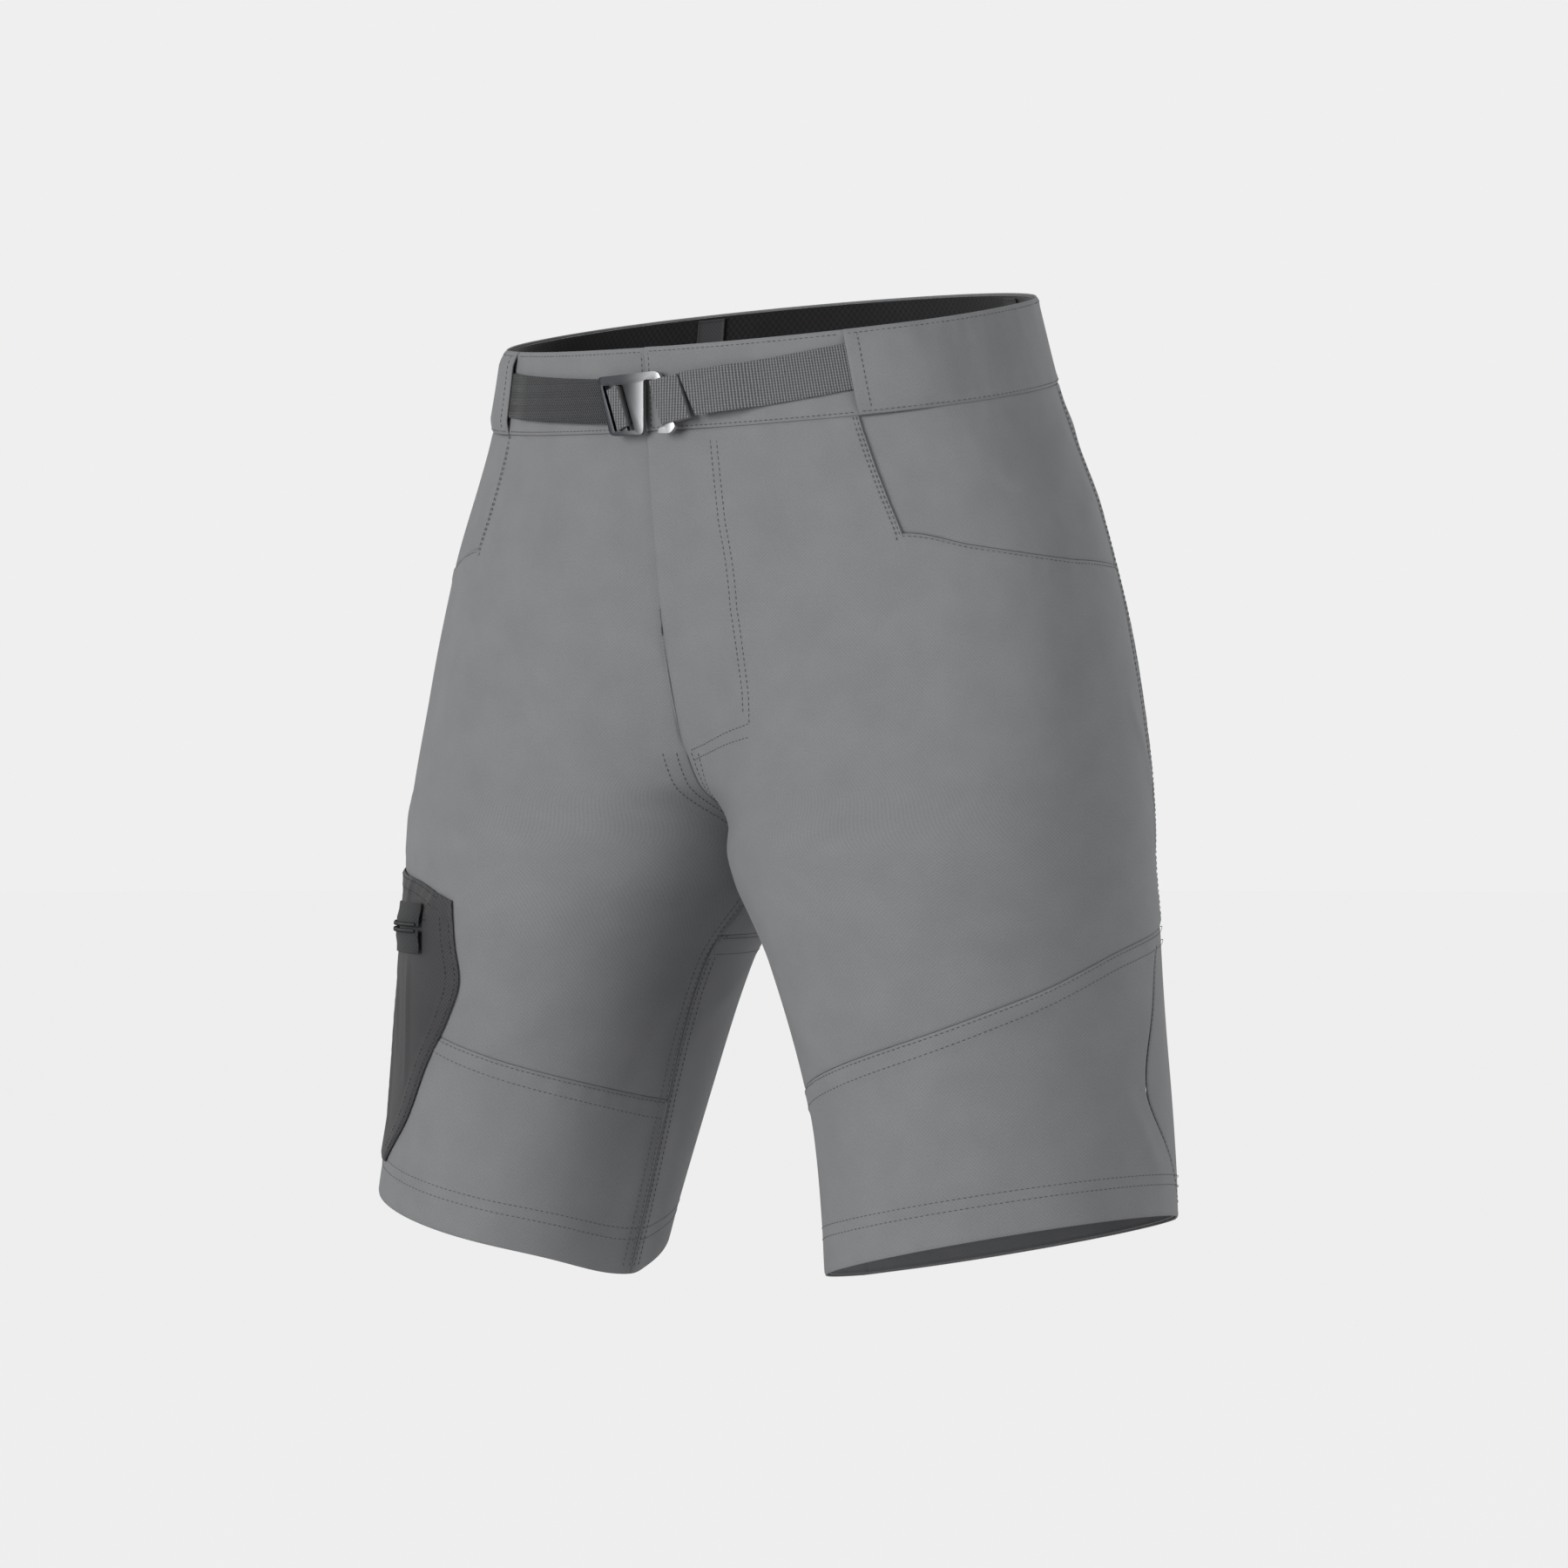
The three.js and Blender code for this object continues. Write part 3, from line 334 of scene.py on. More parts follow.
def metalMaterial(name, dark, light, roughness, brushMm, fade=None):
    # Plated metal with fine brushing. Given a ramp's two x, its colour goes from dark to light between them: a
    # painted shade and a painted highlight.
    material, tree, shader = newMaterial(name, Metallic=1.0)
    place = addNode(tree, "ShaderNodeTexCoord").outputs["Object"]
    stretched = addNode(tree, "ShaderNodeMapping", in3=(1.0, 1.0, 0.08), Vector=place).outputs[0]
    brush = addNode(tree, "ShaderNodeTexNoise", Vector=stretched, Scale=1 / (brushMm * mm), Detail=4.0)
    # painted shade to painted highlight across the piece, not a change in the metal itself
    if fade:
        parts = addNode(tree, "ShaderNodeSeparateXYZ", Vector=place)
        share = addNode(tree, "ShaderNodeMapRange", {"interpolation_type": "SMOOTHSTEP"},
                        Value=parts.outputs[0], From_Min=fade[0], From_Max=fade[1]).outputs[0]
    else:
        share = addNode(tree, "ShaderNodeTexNoise", Vector=place, Scale=220.0, Detail=2.0).outputs["Fac"]
    base = addNode(tree, "ShaderNodeMix", {"data_type": "RGBA"}, in0=share, in6=linear(dark), in7=linear(light))
    tree.links.new(base.outputs[2], shader.inputs["Base Color"])
    rough = addNode(tree, "ShaderNodeMapRange", Value=brush.outputs["Fac"],
                    To_Min=roughness - 0.06, To_Max=roughness + 0.1)
    tree.links.new(rough.outputs[0], shader.inputs["Roughness"])
    dent = addNode(tree, "ShaderNodeBump", Strength=0.25, Distance=0.03 * mm, Height=brush.outputs["Fac"])
    tree.links.new(dent.outputs[0], shader.inputs["Normal"])
    return material


def plainFinish(name, colour, roughness, grainMm):
    material, tree, shader = newMaterial(name, Specular_IOR_Level=0.4)
    place = addNode(tree, "ShaderNodeTexCoord").outputs["Object"]
    grain = addNode(tree, "ShaderNodeTexNoise", Vector=place, Scale=1 / (grainMm * mm), Detail=3.0)
    tone = addNode(tree, "ShaderNodeMapRange", Value=grain.outputs["Fac"],
                   From_Min=0.3, From_Max=0.7, To_Min=0.85, To_Max=1.15)
    shade = addNode(tree, "ShaderNodeVectorMath", {"operation": "SCALE"},
                    in0=linear(colour)[:3], Scale=tone.outputs[0])
    tree.links.new(shade.outputs[0], shader.inputs["Base Color"])
    rough = addNode(tree, "ShaderNodeMapRange", Value=grain.outputs["Fac"],
                    To_Min=roughness - 0.08, To_Max=roughness + 0.08)
    tree.links.new(rough.outputs[0], shader.inputs["Roughness"])
    dent = addNode(tree, "ShaderNodeBump", Strength=0.3, Distance=0.05 * mm, Height=grain.outputs["Fac"])
    tree.links.new(dent.outputs[0], shader.inputs["Normal"])
    return material


# Nylon and elastane double weave: matt, smooth, with a faint grain. Its 0.25 mm threads are drawn at 0.5 mm.
stretchWeave = wovenCloth("stretchDoubleWeave", "#78797b", "#7d7e80", 0.5, 0.3, 0.86, 0.06, 0.05)
# Nylon ripstop, darker and a little smoother, so its folds catch the light.
darkRipstop = wovenCloth("darkNylonRipstop", "#363638", "#414143", 0.6, 0.45, 0.62, 0.05)
# Brushed tricot lining: near black, with a soft nap.
brushedTricot = wovenCloth("brushedTricot", "#101012", "#1c1c1f", 1.1, 0.8, 0.95, 0.35, 0.25)
# Warp-knit polyester mesh of the pocket bags: dark, open and soft, so it takes no shine.
pocketMesh = wovenCloth("pocketMesh", "#1d1e20", "#303134", 1.2, 0.9, 0.85, 0.1)
# Woven polyester zip tape, slightly ribbed: dark and matt beside the glossier coil.
zipTape = wovenCloth("wovenZipTape", "#212224", "#2b2c2e", 0.7, 0.7, 0.8, 0.1, coordinates="Object")
# The left strap's webbing: grey, with light ribs straight across it that stand out at any distance.
ribbedWebbing = webbingMaterial("ribbedWebbing", "#232426", "#848587", 1.75, 0.0, False)
# The right strap's webbing: near black, its leaning ribs show only close by.
herringWebbing = webbingMaterial("herringboneWebbing", "#111214", "#48494b", 1.7, 0.8, True)
# Cast zinc alloy, tumbled and plated: satin. Its colour is painted darker under the strap, as painted shade,
# and lighter at its hook, as a painted highlight.
buckleMetal = metalMaterial("platedZincAlloy", "#48494c", "#bfc0c1", 0.38, 0.35, fade=(-0.014, 0.026))
# Dark plated brass of the sliders, pulls and press stud: small, smooth glints.
hardwareMetal = metalMaterial("darkPlatedBrass", "#2e2f31", "#4a4b4e", 0.32, 0.3)
# Moulded polyester coil, faintly glossy.
coilPlastic = plainFinish("mouldedCoil", "#1f2022", 0.45, 0.8)
# Spun polyester thread, a shade darker than the cloth.
sewingThread = plainFinish("spunThread", "#56575a", 0.8, 0.3)
# The same thread dyed for the thigh pocket, where it nearly disappears.
darkThread = plainFinish("darkSpunThread", "#242527", 0.8, 0.3)
print("materials made")


def finishPiece(name, bm, material, body, node, solid=0.0):
    mesh = bpy.data.meshes.new(name)
    bm.to_mesh(mesh)
    bm.free()
    mesh.materials.append(material)
    piece = bpy.data.objects.new(name, mesh)
    bpy.context.scene.collection.objects.link(piece)
    if solid:
        wall = piece.modifiers.new("wall", "SOLIDIFY")
        wall.thickness, wall.offset, wall.use_rim = solid * mm, -1.0, True
    if body:
        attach(piece, body)
    if node:
        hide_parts(node)
    return piece


gridEdge = {"edge": [0, 0.4, 1.0, 1.8, 2.8], "beside": 0.7, "closest": 0.25}


def gridLines(length, step, marks=()):  # shares of a length: close together at its ends and at marks
    edge, beside = gridEdge["edge"], gridEdge["beside"]
    count = max(2, round((length - 2 * edge[-1]) / step))
    lines = edge + list(np.linspace(edge[-1], length - edge[-1], count + 1)) + [length - e for e in edge]
    for mark in marks:
        lines += [mark * length, mark * length - beside, mark * length + beside]
    lines = sorted(e for e in lines if 0 <= e <= length)
    kept = [lines[0]]
    for e in lines[1:]:
        if e - kept[-1] > gridEdge["closest"]:
            kept.append(e)
    kept[-1] = length
    return np.array(kept) / length


def gridPoints(bm, columns, rows):  # an even grid in the mesh, and each point's share across and down
    bmesh.ops.create_grid(bm, x_segments=len(columns) - 1, y_segments=len(rows) - 1, size=0.5)
    flat = np.array([v.co for v in bm.verts])
    u = columns[np.rint((flat[:, 0] + 0.5) * (len(columns) - 1)).astype(int)]
    v = rows[np.rint((0.5 - flat[:, 1]) * (len(rows) - 1)).astype(int)]
    return u, v


def placeGrid(bm, place, flatPlace, turned):  # each point to its place, and its place in the flat cloth
    uv = bm.loops.layers.uv.new("UVMap")
    for i, vert in enumerate(bm.verts):
        vert.co = place[i]
        vert.index = i
    for face in bm.faces:
        face.smooth = True
        for loop in face.loops:
            loop[uv].uv = flatPlace[loop.vert.index]
    if turned:
        bmesh.ops.reverse_faces(bm, faces=bm.faces[:])


# How a sewn edge looks: it rolls in, a step shows where the plies end, and small puckers run along it.
sewnEdge = {"roll": 0.45, "rollReach": 0.9, "step": 0.4, "stepRun": 2.5, "stepIn": 1.5, "pucker": 0.16,
            "puckerEvery": 1.75, "wander": 2, "wanderEvery": 23, "puckerReach": 13, "puckerIn": 2}


def clothPiece(name, node, finish, side, edges, height, thick=None, step=None,
               marks=((), ()), allowance=(0, 0, 0, 0), loose=True):
    # Edges run front, back, top, bottom; front and back may depend on q, top and bottom on s. Side 0 runs
    # round the back from the left front (0) to the right front (2). Allowance raises that many millimetres
    # along each edge, where the seam's plies lie under the cloth.
    edge = [e if callable(e) else (lambda x, e=e: e + 0 * x) for e in edges]
    thick, step = thick or cloth["thick"], step or cloth["step"]
    s0, s1 = float(edge[0](np.array(200.0))), float(edge[1](np.array(200.0)))
    probe = np.linspace(min(s0, s1), max(s0, s1), 9)
    fold = np.where(probe > 1, 2 - probe, probe)
    middle = (edge[2](fold) + edge[3](fold)) / 2
    wide = float(np.max((edge[1](middle) - edge[0](middle)) * spread(fold, middle)))
    deep = float(np.max(edge[3](fold) - edge[2](fold)))
    columns, rows = gridLines(wide, step, marks[0]), gridLines(deep, step, marks[1])
    bm = bmesh.new()
    u, v = gridPoints(bm, columns, rows)
    r, q = np.full(len(u), 0.5), np.zeros(len(u))
    for _ in range(10):
        s = np.where(r > 1, 2 - r, r)
        top, bottom = edge[2](s) + cloth["seamGap"], edge[3](s) - cloth["seamGap"]
        q = mix(top, bottom, v)
        gap = cloth["seamGap"] / spread(s, q)
        front, back = edge[0](q) + gap, edge[1](q) - gap
        r = mix(front, back, u)
    s = np.where(r > 1, 2 - r, r)
    sides = np.where(r > 1, -1, 1) if side == 0 else np.full(len(u), side)
    each = spread(s, q)
    away = [(r - front) * each, (back - r) * each, q - top, bottom - q]
    h = height(s, q) if callable(height) else np.full(len(u), float(height))
    if loose:
        h = h + drape(sides, s, q)
    along = [q, q, s * each, s * each]
    look = sewnEdge
    for i in range(4):
        h = h - look["roll"] * np.exp(-((away[i] / look["rollReach"]) ** 2))
        if allowance[i]:
            stepShape = look["step"] * (1 - ease((away[i] - allowance[i]) / look["stepRun"]))
            h = h + stepShape * (1 - np.exp(-((away[i] / look["stepIn"]) ** 2)))
            wander = look["wander"] * np.sin(along[i] / look["wanderEvery"])
            wave = np.sin(along[i] / look["puckerEvery"] + wander)
            fade = np.exp(-((away[i] / look["puckerReach"]) ** 2))
            h = h + look["pucker"] * wave * fade * ease(away[i] / look["puckerIn"])
    flatPlace = [(a * pattern["halfRound"] * mm, b * mm) for a, b in zip(r, q)]
    placeGrid(bm, over(sides, s, q, h) * mm, flatPlace, side < 0)
    area = sum(face.calc_area() for face in bm.faces)
    piece = finishPiece(name, bm, finish, "shorts", node, thick)
    return piece


stitch = {"pitch": 3.0, "length": 2.1, "wide": 0.5, "tall": 0.34, "lift": 0.1}
threadRows = {"spun": [], "dark": []}


def stitchRow(side, points, height=0.0, thread="spun", laps=False):
    # A row of stitches along points given as (s, q), on cloth at that height.
    path = np.array(points, float)
    t = np.linspace(0, 1, len(path))
    fine = np.linspace(0, 1, 400)
    s, q = np.interp(fine, t, path[:, 0]), np.interp(fine, t, path[:, 1])
    sides = np.where(s > 1, -1, 1) if side == 0 else side
    s = np.where(s > 1, 2 - s, s)
    h = height(s, q) if callable(height) else height
    h = h + drape(sides, s, q) + stitch["lift"] + (lap(sides, s, q) if laps else 0)
    line, outer = over(sides, s, q, h), over(sides, s, q, h + 1)
    run = np.concatenate([[0], np.cumsum(np.linalg.norm(np.diff(line, axis=0), axis=1))])
    pitch = stitch["pitch"]
    row = []
    for at in np.arange(pitch * 0.5, run[-1], pitch):
        i = int(np.clip(np.searchsorted(run, at), 1, len(run) - 2))
        share = (at - run[i - 1]) / max(run[i] - run[i - 1], 1e-9)
        row.append((mix(line[i - 1], line[i], share), line[i + 1] - line[i - 1], outer[i] - line[i]))
    threadRows[thread].append(row)


def sewThreads(name, which, material):
    bm = bmesh.new()
    scale = Matrix.Diagonal((stitch["length"] / 2 * mm, stitch["wide"] / 2 * mm, stitch["tall"] / 2 * mm, 1))
    for row in threadRows[which]:
        for start in range(0, len(row), 40):  # a few at a time, because the operator slows as a mesh grows
            few = bmesh.new()
            for centre, along, out in row[start:start + 40]:
                x, z = Vector(along).normalized(), Vector(out).normalized()
                y = z.cross(x).normalized()
                turn = Matrix((x, y, x.cross(y))).transposed().to_4x4()
                at = Matrix.Translation(Vector(centre) * mm) @ turn @ scale
                bmesh.ops.create_icosphere(few, subdivisions=1, radius=1, matrix=at)
            part = bpy.data.meshes.new("row")
            few.to_mesh(part)
            few.free()
            bm.from_mesh(part)
            bpy.data.meshes.remove(part)
    for face in bm.faces:
        face.smooth = True
    return finishPiece(name, bm, material, "shorts", None)


def curve(front, back, q, count=40):
    s = np.linspace(front, back, count)
    return list(zip(s, q(s) if callable(q) else np.full(count, q)))


bothSides = (("left", 1), ("right", -1))
sink = cloth["thick"] + cloth["ply"]
shell = {"insertGap": 0.004, "hipFront": 0.222, "hipSinkEnd": 0.268, "hipSinkRun": 0.09, "insertTuck": 1.5,
         "thighPlies": 6, "sidePlies": 7, "lowerPlies": 10,
         "bagFront": 0.13, "bagBack": 0.5, "bagTop": 52, "bagBottom": 250}
for word, side in bothSides:
    kite = (lambda q: kiteWidth(q) + shell["insertGap"]) if side > 0 else (lambda q: 0 * q)
    mouthMarks = (seams["mouth"][0][0] / seams["side"], seams["mouth"][0][-1] / seams["side"])
    clothPiece(f"front_cloth_{word}", f"front_panel_{word}", stretchWeave, side,
               (0, seams["side"], frontTop, thighSeam), lambda s, q, side=side: lap(side, s, q),
               marks=(mouthMarks, ()), allowance=(0, 0, shell["thighPlies"], 0))
    clothPiece(f"hip_cloth_{word}", f"hip_panel_{word}", stretchWeave, side,
               (shell["hipFront"], seams["side"], seams["waist"], hipSeam),
               lambda s, q: -sink * (1 - ease((s - shell["hipSinkEnd"]) / shell["hipSinkRun"])))
    clothPiece(f"back_cloth_{word}", f"back_panel_{word}", stretchWeave, side,
               (seams["side"], 1, seams["waist"], seams["backThigh"]), 0,
               allowance=(shell["sidePlies"], shell["sidePlies"], 0, 0))
    clothPiece(f"lower_front_cloth_{word}", f"lower_front_{word}", stretchWeave, side,
               (0, lambda q, kite=kite: seams["side"] - kite(q), thighSeam, seams["hem"]), 0,
               allowance=(0, 0, shell["lowerPlies"], 0))
    clothPiece(f"lower_back_cloth_{word}", f"lower_back_{word}", stretchWeave, side,
               (lambda q, kite=kite: seams["side"] + kite(q), 1, seams["backThigh"], seams["hem"]), 0,
               allowance=(0, 0, shell["lowerPlies"], 0))
    clothPiece(f"hem_cloth_{word}", f"hem_facing_{word}", stretchWeave, side,
               (0, 1, seams["hem"] - seams["hemDepth"], seams["hem"] - 1),
               -cloth["thick"] - 1.4 * cloth["ply"])
    clothPiece(f"pocket_mesh_{word}", f"pocket_bag_{word}", pocketMesh, side,
               (shell["bagFront"], shell["bagBack"], shell["bagTop"], shell["bagBottom"]),
               -2 * cloth["thick"] - 2.1 * cloth["ply"], step=6)
clothPiece("side_insert_cloth", "side_insert_left", stretchWeave, 1,
           (lambda q: seams["side"] - kiteWidth(q), lambda q: seams["side"] + kiteWidth(q),
            lambda s: thighSeam(s) + shell["insertTuck"], seams["hem"]), -0.5)
print("shell made")

# The tunnel stands off the band at its mouths, where the belt runs in, and lies flat further back.
tunnel = {"mouth": 0.245, "flat": 0.32, "flatRun": 0.1, "standoff": 1.3 + 1.5 * cloth["ply"] + cloth["thick"],
          "edgeHeight": 1.0, "edgeFlat": 0.315, "edgeRun": 0.06, "sewn": 0.3, "rise": 8}
ripple = {"tall": 0.35, "turns": 41, "shift": 1.1, "from": 0.3, "run": 0.1}
hanger = {"middle": 0.77, "width": 16, "top": 3, "bottom": 37}


def tunnelHeight(s, q):
    lowest = tunnel["edgeHeight"] * (1 - ease((s - tunnel["edgeFlat"]) / tunnel["edgeRun"]))
    stand = tunnel["standoff"] * (1 - ease((s - tunnel["flat"]) / tunnel["flatRun"]))
    fromEdge = np.minimum(q - tunnel["sewn"], seams["waist"] - tunnel["sewn"] - q)
    return lowest + np.maximum(stand - lowest, 0) * ease(fromEdge / tunnel["rise"])


def bandRipple(s, q):
    wave = ripple["tall"] * np.sin(s * ripple["turns"] + ripple["shift"])
    wave = wave * ease((s - ripple["from"]) / ripple["run"])
    return wave * np.sin(np.pi * np.clip(q / seams["waist"], 0, 1))


for word, side in bothSides:
    clothPiece(f"waistband_front_cloth_{word}", f"waistband_front_{word}", stretchWeave, side,
               (0, 0.31, 0, seams["waist"]), lambda s, q, side=side: lap(side, s, q),
               allowance=(0, 0, 2, 0), loose=False, step=2.6)
    half = hanger["width"] / 2 / float(spread(hanger["middle"], 0))
    clothPiece(f"hanger_loop_cloth_{word}", f"hanger_loop_{word}", darkRipstop, side,
               (hanger["middle"] - half, hanger["middle"] + half, hanger["top"], hanger["bottom"]),
               -cloth["thick"] - 1.25 * cloth["ply"] - 0.8 - 0.3, loose=False)
clothPiece("waistband_tunnel_cloth", "waistband_tunnel", stretchWeave, 0,
           (tunnel["mouth"], 2 - tunnel["mouth"], 0, seams["waist"]),
           lambda s, q: tunnelHeight(s, q) + bandRipple(s, q), allowance=(0, 0, 2, 2), loose=False, step=2.8)
clothPiece("waistband_lining_cloth", "waistband_lining", brushedTricot, 0,
           (0.004, 1.996, 1.5, seams["waist"] - 2),
           -cloth["thick"] - 0.75 * cloth["ply"], thick=0.8, loose=False)
print("waistband made")

pocket = {
    "front": ([319, 346, 367, 386, 417, 449, 478], [0.264, 0.243, 0.231, 0.239, 0.265, 0.288, 0.33]),
    "back": ([312, 400, 440, 478], [0.6, 0.6, 0.57, 0.5]),
    "top": ([0.264, 0.335, 0.45, 0.6], [319, 306, 300, 312]),
    "bottom": 478, "height": cloth["thick"] + 1.15 * cloth["ply"],
    "pucker": 0.5, "puckerTurns": 95, "puckerFrom": 300, "puckerIn": 10, "puckerPeak": 306, "puckerOut": 36,
}
backPocket = (0.675, 0.9, 79, 253.8)  # its bag's front, back, top and bottom
flyFacing = {"front": 0.003, "back": 0.085, "bottom": 216, "curveFrom": 0.05, "slope": 240}


def pocketFront(q):
    return through(*pocket["front"], q)


def pocketTop(s):
    return through(*pocket["top"], s)


def pocketHeight(s, q):
    wave = pocket["pucker"] * np.sin(s * pocket["puckerTurns"])
    fadeOut = 1 - ease((q - pocket["puckerPeak"]) / pocket["puckerOut"])
    return pocket["height"] + wave * fadeOut * ease((q - pocket["puckerFrom"]) / pocket["puckerIn"])


def flyBottom(s):
    return flyFacing["bottom"] - flyFacing["slope"] * np.maximum(s - flyFacing["curveFrom"], 0)


clothPiece("thigh_pocket_cloth", "cargo_pocket_panel", darkRipstop, -1,
           (pocketFront, lambda q: through(*pocket["back"], q), pocketTop, pocket["bottom"]),
           pocketHeight, thick=0.8, step=2.6, allowance=(9, 9, 9, 0))
clothPiece("back_pocket_mesh", "rear_pocket_bag", pocketMesh, -1, backPocket,
           -cloth["thick"] - 1.5 * cloth["ply"], step=6)
clothPiece("fly_facing_cloth", "fly_facing", stretchWeave, 1,
           (flyFacing["front"], flyFacing["back"], seams["waist"] + 1, flyBottom),
           -cloth["thick"] - 1.5 * cloth["ply"], step=5)
print("pockets made")


rounding = {"weld": 2e-5, "flat": math.radians(2), "sharp": math.radians(32), "shadeSharp": math.radians(40)}


def roundedCopy(name, node, material, body, radiusMm, flatUv=False):
    # A copy of the CAD piece with its sharp edges rounded over.
    bm = bmesh.new()
    bm.from_mesh(frame["nodes"][node].data)
    bmesh.ops.remove_doubles(bm, verts=bm.verts[:], dist=rounding["weld"])
    bmesh.ops.dissolve_limit(bm, angle_limit=rounding["flat"], verts=bm.verts[:], edges=bm.edges[:])
    sharp = [e for e in bm.edges if len(e.link_faces) == 2 and e.calc_face_angle(0) > rounding["sharp"]]
    bmesh.ops.bevel(bm, geom=sharp, offset=radiusMm * mm, offset_type="OFFSET", affect="EDGES",
                    segments=3, profile=0.5, material=-1, clamp_overlap=True)
    bmesh.ops.triangulate(bm, faces=[f for f in bm.faces if len(f.verts) > 4])
    uv = bm.loops.layers.uv.new("UVMap")
    for face in bm.faces:
        face.smooth = True
        for loop in face.loops:
            p = loop.vert.co
            loop[uv].uv = (p.x, p.z) if flatUv and abs(face.normal.y) > 0.6 else (0, 0)
    piece = finishPiece(name, bm, material, body, node)
    piece.data.set_sharp_from_angle(angle=rounding["shadeSharp"])


roundedCopy("hook_buckle", "buckle", buckleMetal, "buckle", 0.42)
roundedCopy("webbing_turn", "strap_turn", ribbedWebbing, "buckle", 0.35, flatUv=True)
roundedCopy("webbing_loop", "strap_loop", ribbedWebbing, "buckle", 0.4, flatUv=True)
roundedCopy("stud_socket", "press_socket", hardwareMetal, "shorts", 0.2)
roundedCopy("stud_cap", "press_stud", hardwareMetal, "shorts", 0.2)
roundedCopy("fly_shield_cloth", "fly_shield", stretchWeave, "shorts", 0.3)
zips = (("fly", ("left", "right")), ("cargo", ("lower", "upper")), ("rear", ("lower", "upper")))
for zipName, words in zips:
    slider = f"{zipName}_slider"
    roundedCopy(f"{zipName}_zip_slider", slider, hardwareMetal, slider, 0.18)
    roundedCopy(f"{zipName}_zip_pull", f"{zipName}_pull", hardwareMetal, f"{zipName}_pull", 0.16)
    for word in words:
        roundedCopy(f"{zipName}_zip_tape_{word}", f"{zipName}_tape_{word}", zipTape, "shorts", 0.15)
print("hardware made")

coil = {"pitch": 1.45, "wide": 2.5, "tall": 1.4, "thick": 1.05, "first": 0.8, "last": 0.5}


def coilTeeth(name, node, joint):
    # Teeth along the CAD's coil, straight along a slide's axis or on the arc round a hinge's centre.
    points = np.array([v.co for v in frame["nodes"][node].data.vertices])
    axis = np.array(joint["axis"], float)
    axis = axis / np.linalg.norm(axis)
    if joint["type"] == "slide":
        at = points @ axis
        length = at.max() - at.min()
        first = points[at < at.min() + 1e-4]
        move = lambda d: Matrix.Translation(Vector(axis * d))
        along = Vector(axis)
    else:
        pivot = np.array(joint["pos_m"], float)
        away = points - pivot
        facing = math.atan2(away[:, 1].mean(), away[:, 0].mean())
        turned = np.arctan2(away[:, 1], away[:, 0]) - facing + math.pi
        angle = turned % (2 * math.pi) - math.pi + facing
        radius = np.hypot(away[:, 0], away[:, 1]).mean()
        length = (angle.max() - angle.min()) * radius
        first = points[angle < angle.min() + 1e-3]
        centre = Matrix.Translation(Vector(pivot))
        move = lambda d: centre @ Matrix.Rotation(d / radius, 4, "Z") @ centre.inverted()
        along = Vector((-math.sin(angle.min()), math.cos(angle.min()), 0))
    middle = Vector(first.mean(axis=0))
    spans = first - first.mean(axis=0)
    across = Vector(np.linalg.svd(spans)[2][0])
    across = (across - along * across.dot(along)).normalized()
    out = along.cross(across).normalized()
    turn = Matrix((along, across, out)).transposed().to_4x4()
    bm = bmesh.new()
    scale = Matrix.Diagonal((coil["thick"] / 2 * mm, coil["wide"] / 2 * mm, coil["tall"] / 2 * mm, 1))
    for d in np.arange(coil["first"] * mm, length - coil["last"] * mm, coil["pitch"] * mm):
        tooth = move(d) @ Matrix.Translation(middle) @ turn @ scale
        bmesh.ops.create_uvsphere(bm, u_segments=8, v_segments=5, radius=1, matrix=tooth)
    for face in bm.faces:
        face.smooth = True
    finishPiece(name, bm, coilPlastic, "shorts", node)


joints = {joint["name"]: joint for joint in frame["joints"]}
for zipName, words in zips:
    for word in words:
        coilTeeth(f"{zipName}_zip_coil_{word}", f"{zipName}_coil_{word}", joints[f"{zipName}_zip"])
print("coils made")

# The strap's length, lean and weave are measured along a half round of 500, 530 and 525 mm.
belt = {
    "width": 25, "thick": 1.3, "front": 30.7, "leftMouth": 20.3, "rightMouth": 24.6, "anchor": 0.3, "low": 0.6,
    "over": 2.3, "lean": 0.35, "leftStart": 0.0586, "rightStart": 0.0268, "tailEnd": 0.175, "loopHeight": 6.55,
    "lengthRound": 500, "leanRound": 530, "weaveRound": 525, "stepLong": 1.6, "stepWide": 2.2,
    "edgeRoll": 0.35, "rollReach": 0.8, "wave": 0.12, "waveTurns": 130,
    "bendStart": (-0.09, -0.096, -0.044), "bendEnd": (-0.022, -0.109, -0.05),
}


def strapPiece(name, node, material, side, start, end, mouth, height, bends=False):
    bm = bmesh.new()
    columns = gridLines((end - start) * belt["lengthRound"], belt["stepLong"])
    rows = gridLines(belt["width"], belt["stepWide"])
    u, v = gridPoints(bm, columns, rows)
    across = (v - 0.5) * belt["width"]
    first = start + across * belt["lean"] * side / belt["leanRound"]
    s = mix(first, end, u)
    q = mix(belt["front"], mouth, s / tunnel["mouth"]) + across
    edgeAway = np.minimum(v, 1 - v) * belt["width"]
    h = height(s) + belt["thick"] - belt["edgeRoll"] * np.exp(-((edgeAway / belt["rollReach"]) ** 2))
    h = h + belt["wave"] * np.sin(s * belt["waveTurns"])
    flatPlace = [(a * belt["weaveRound"] * mm * side, -b * mm) for a, b in zip(s, q)]
    placeGrid(bm, over(side, s, q, h) * mm, flatPlace, side < 0)
    piece = finishPiece(name, bm, material, None if bends else "shorts", node, belt["thick"] - 0.1)
    if bends:  # the strap goes through the buckle and, from its loop on, lies on the shorts; here its wall is applied and it is left on no body
        whole = piece.evaluated_get(bpy.context.evaluated_depsgraph_get())
        piece.data = bpy.data.meshes.new_from_object(whole)
        piece.modifiers.clear()
        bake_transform(piece)


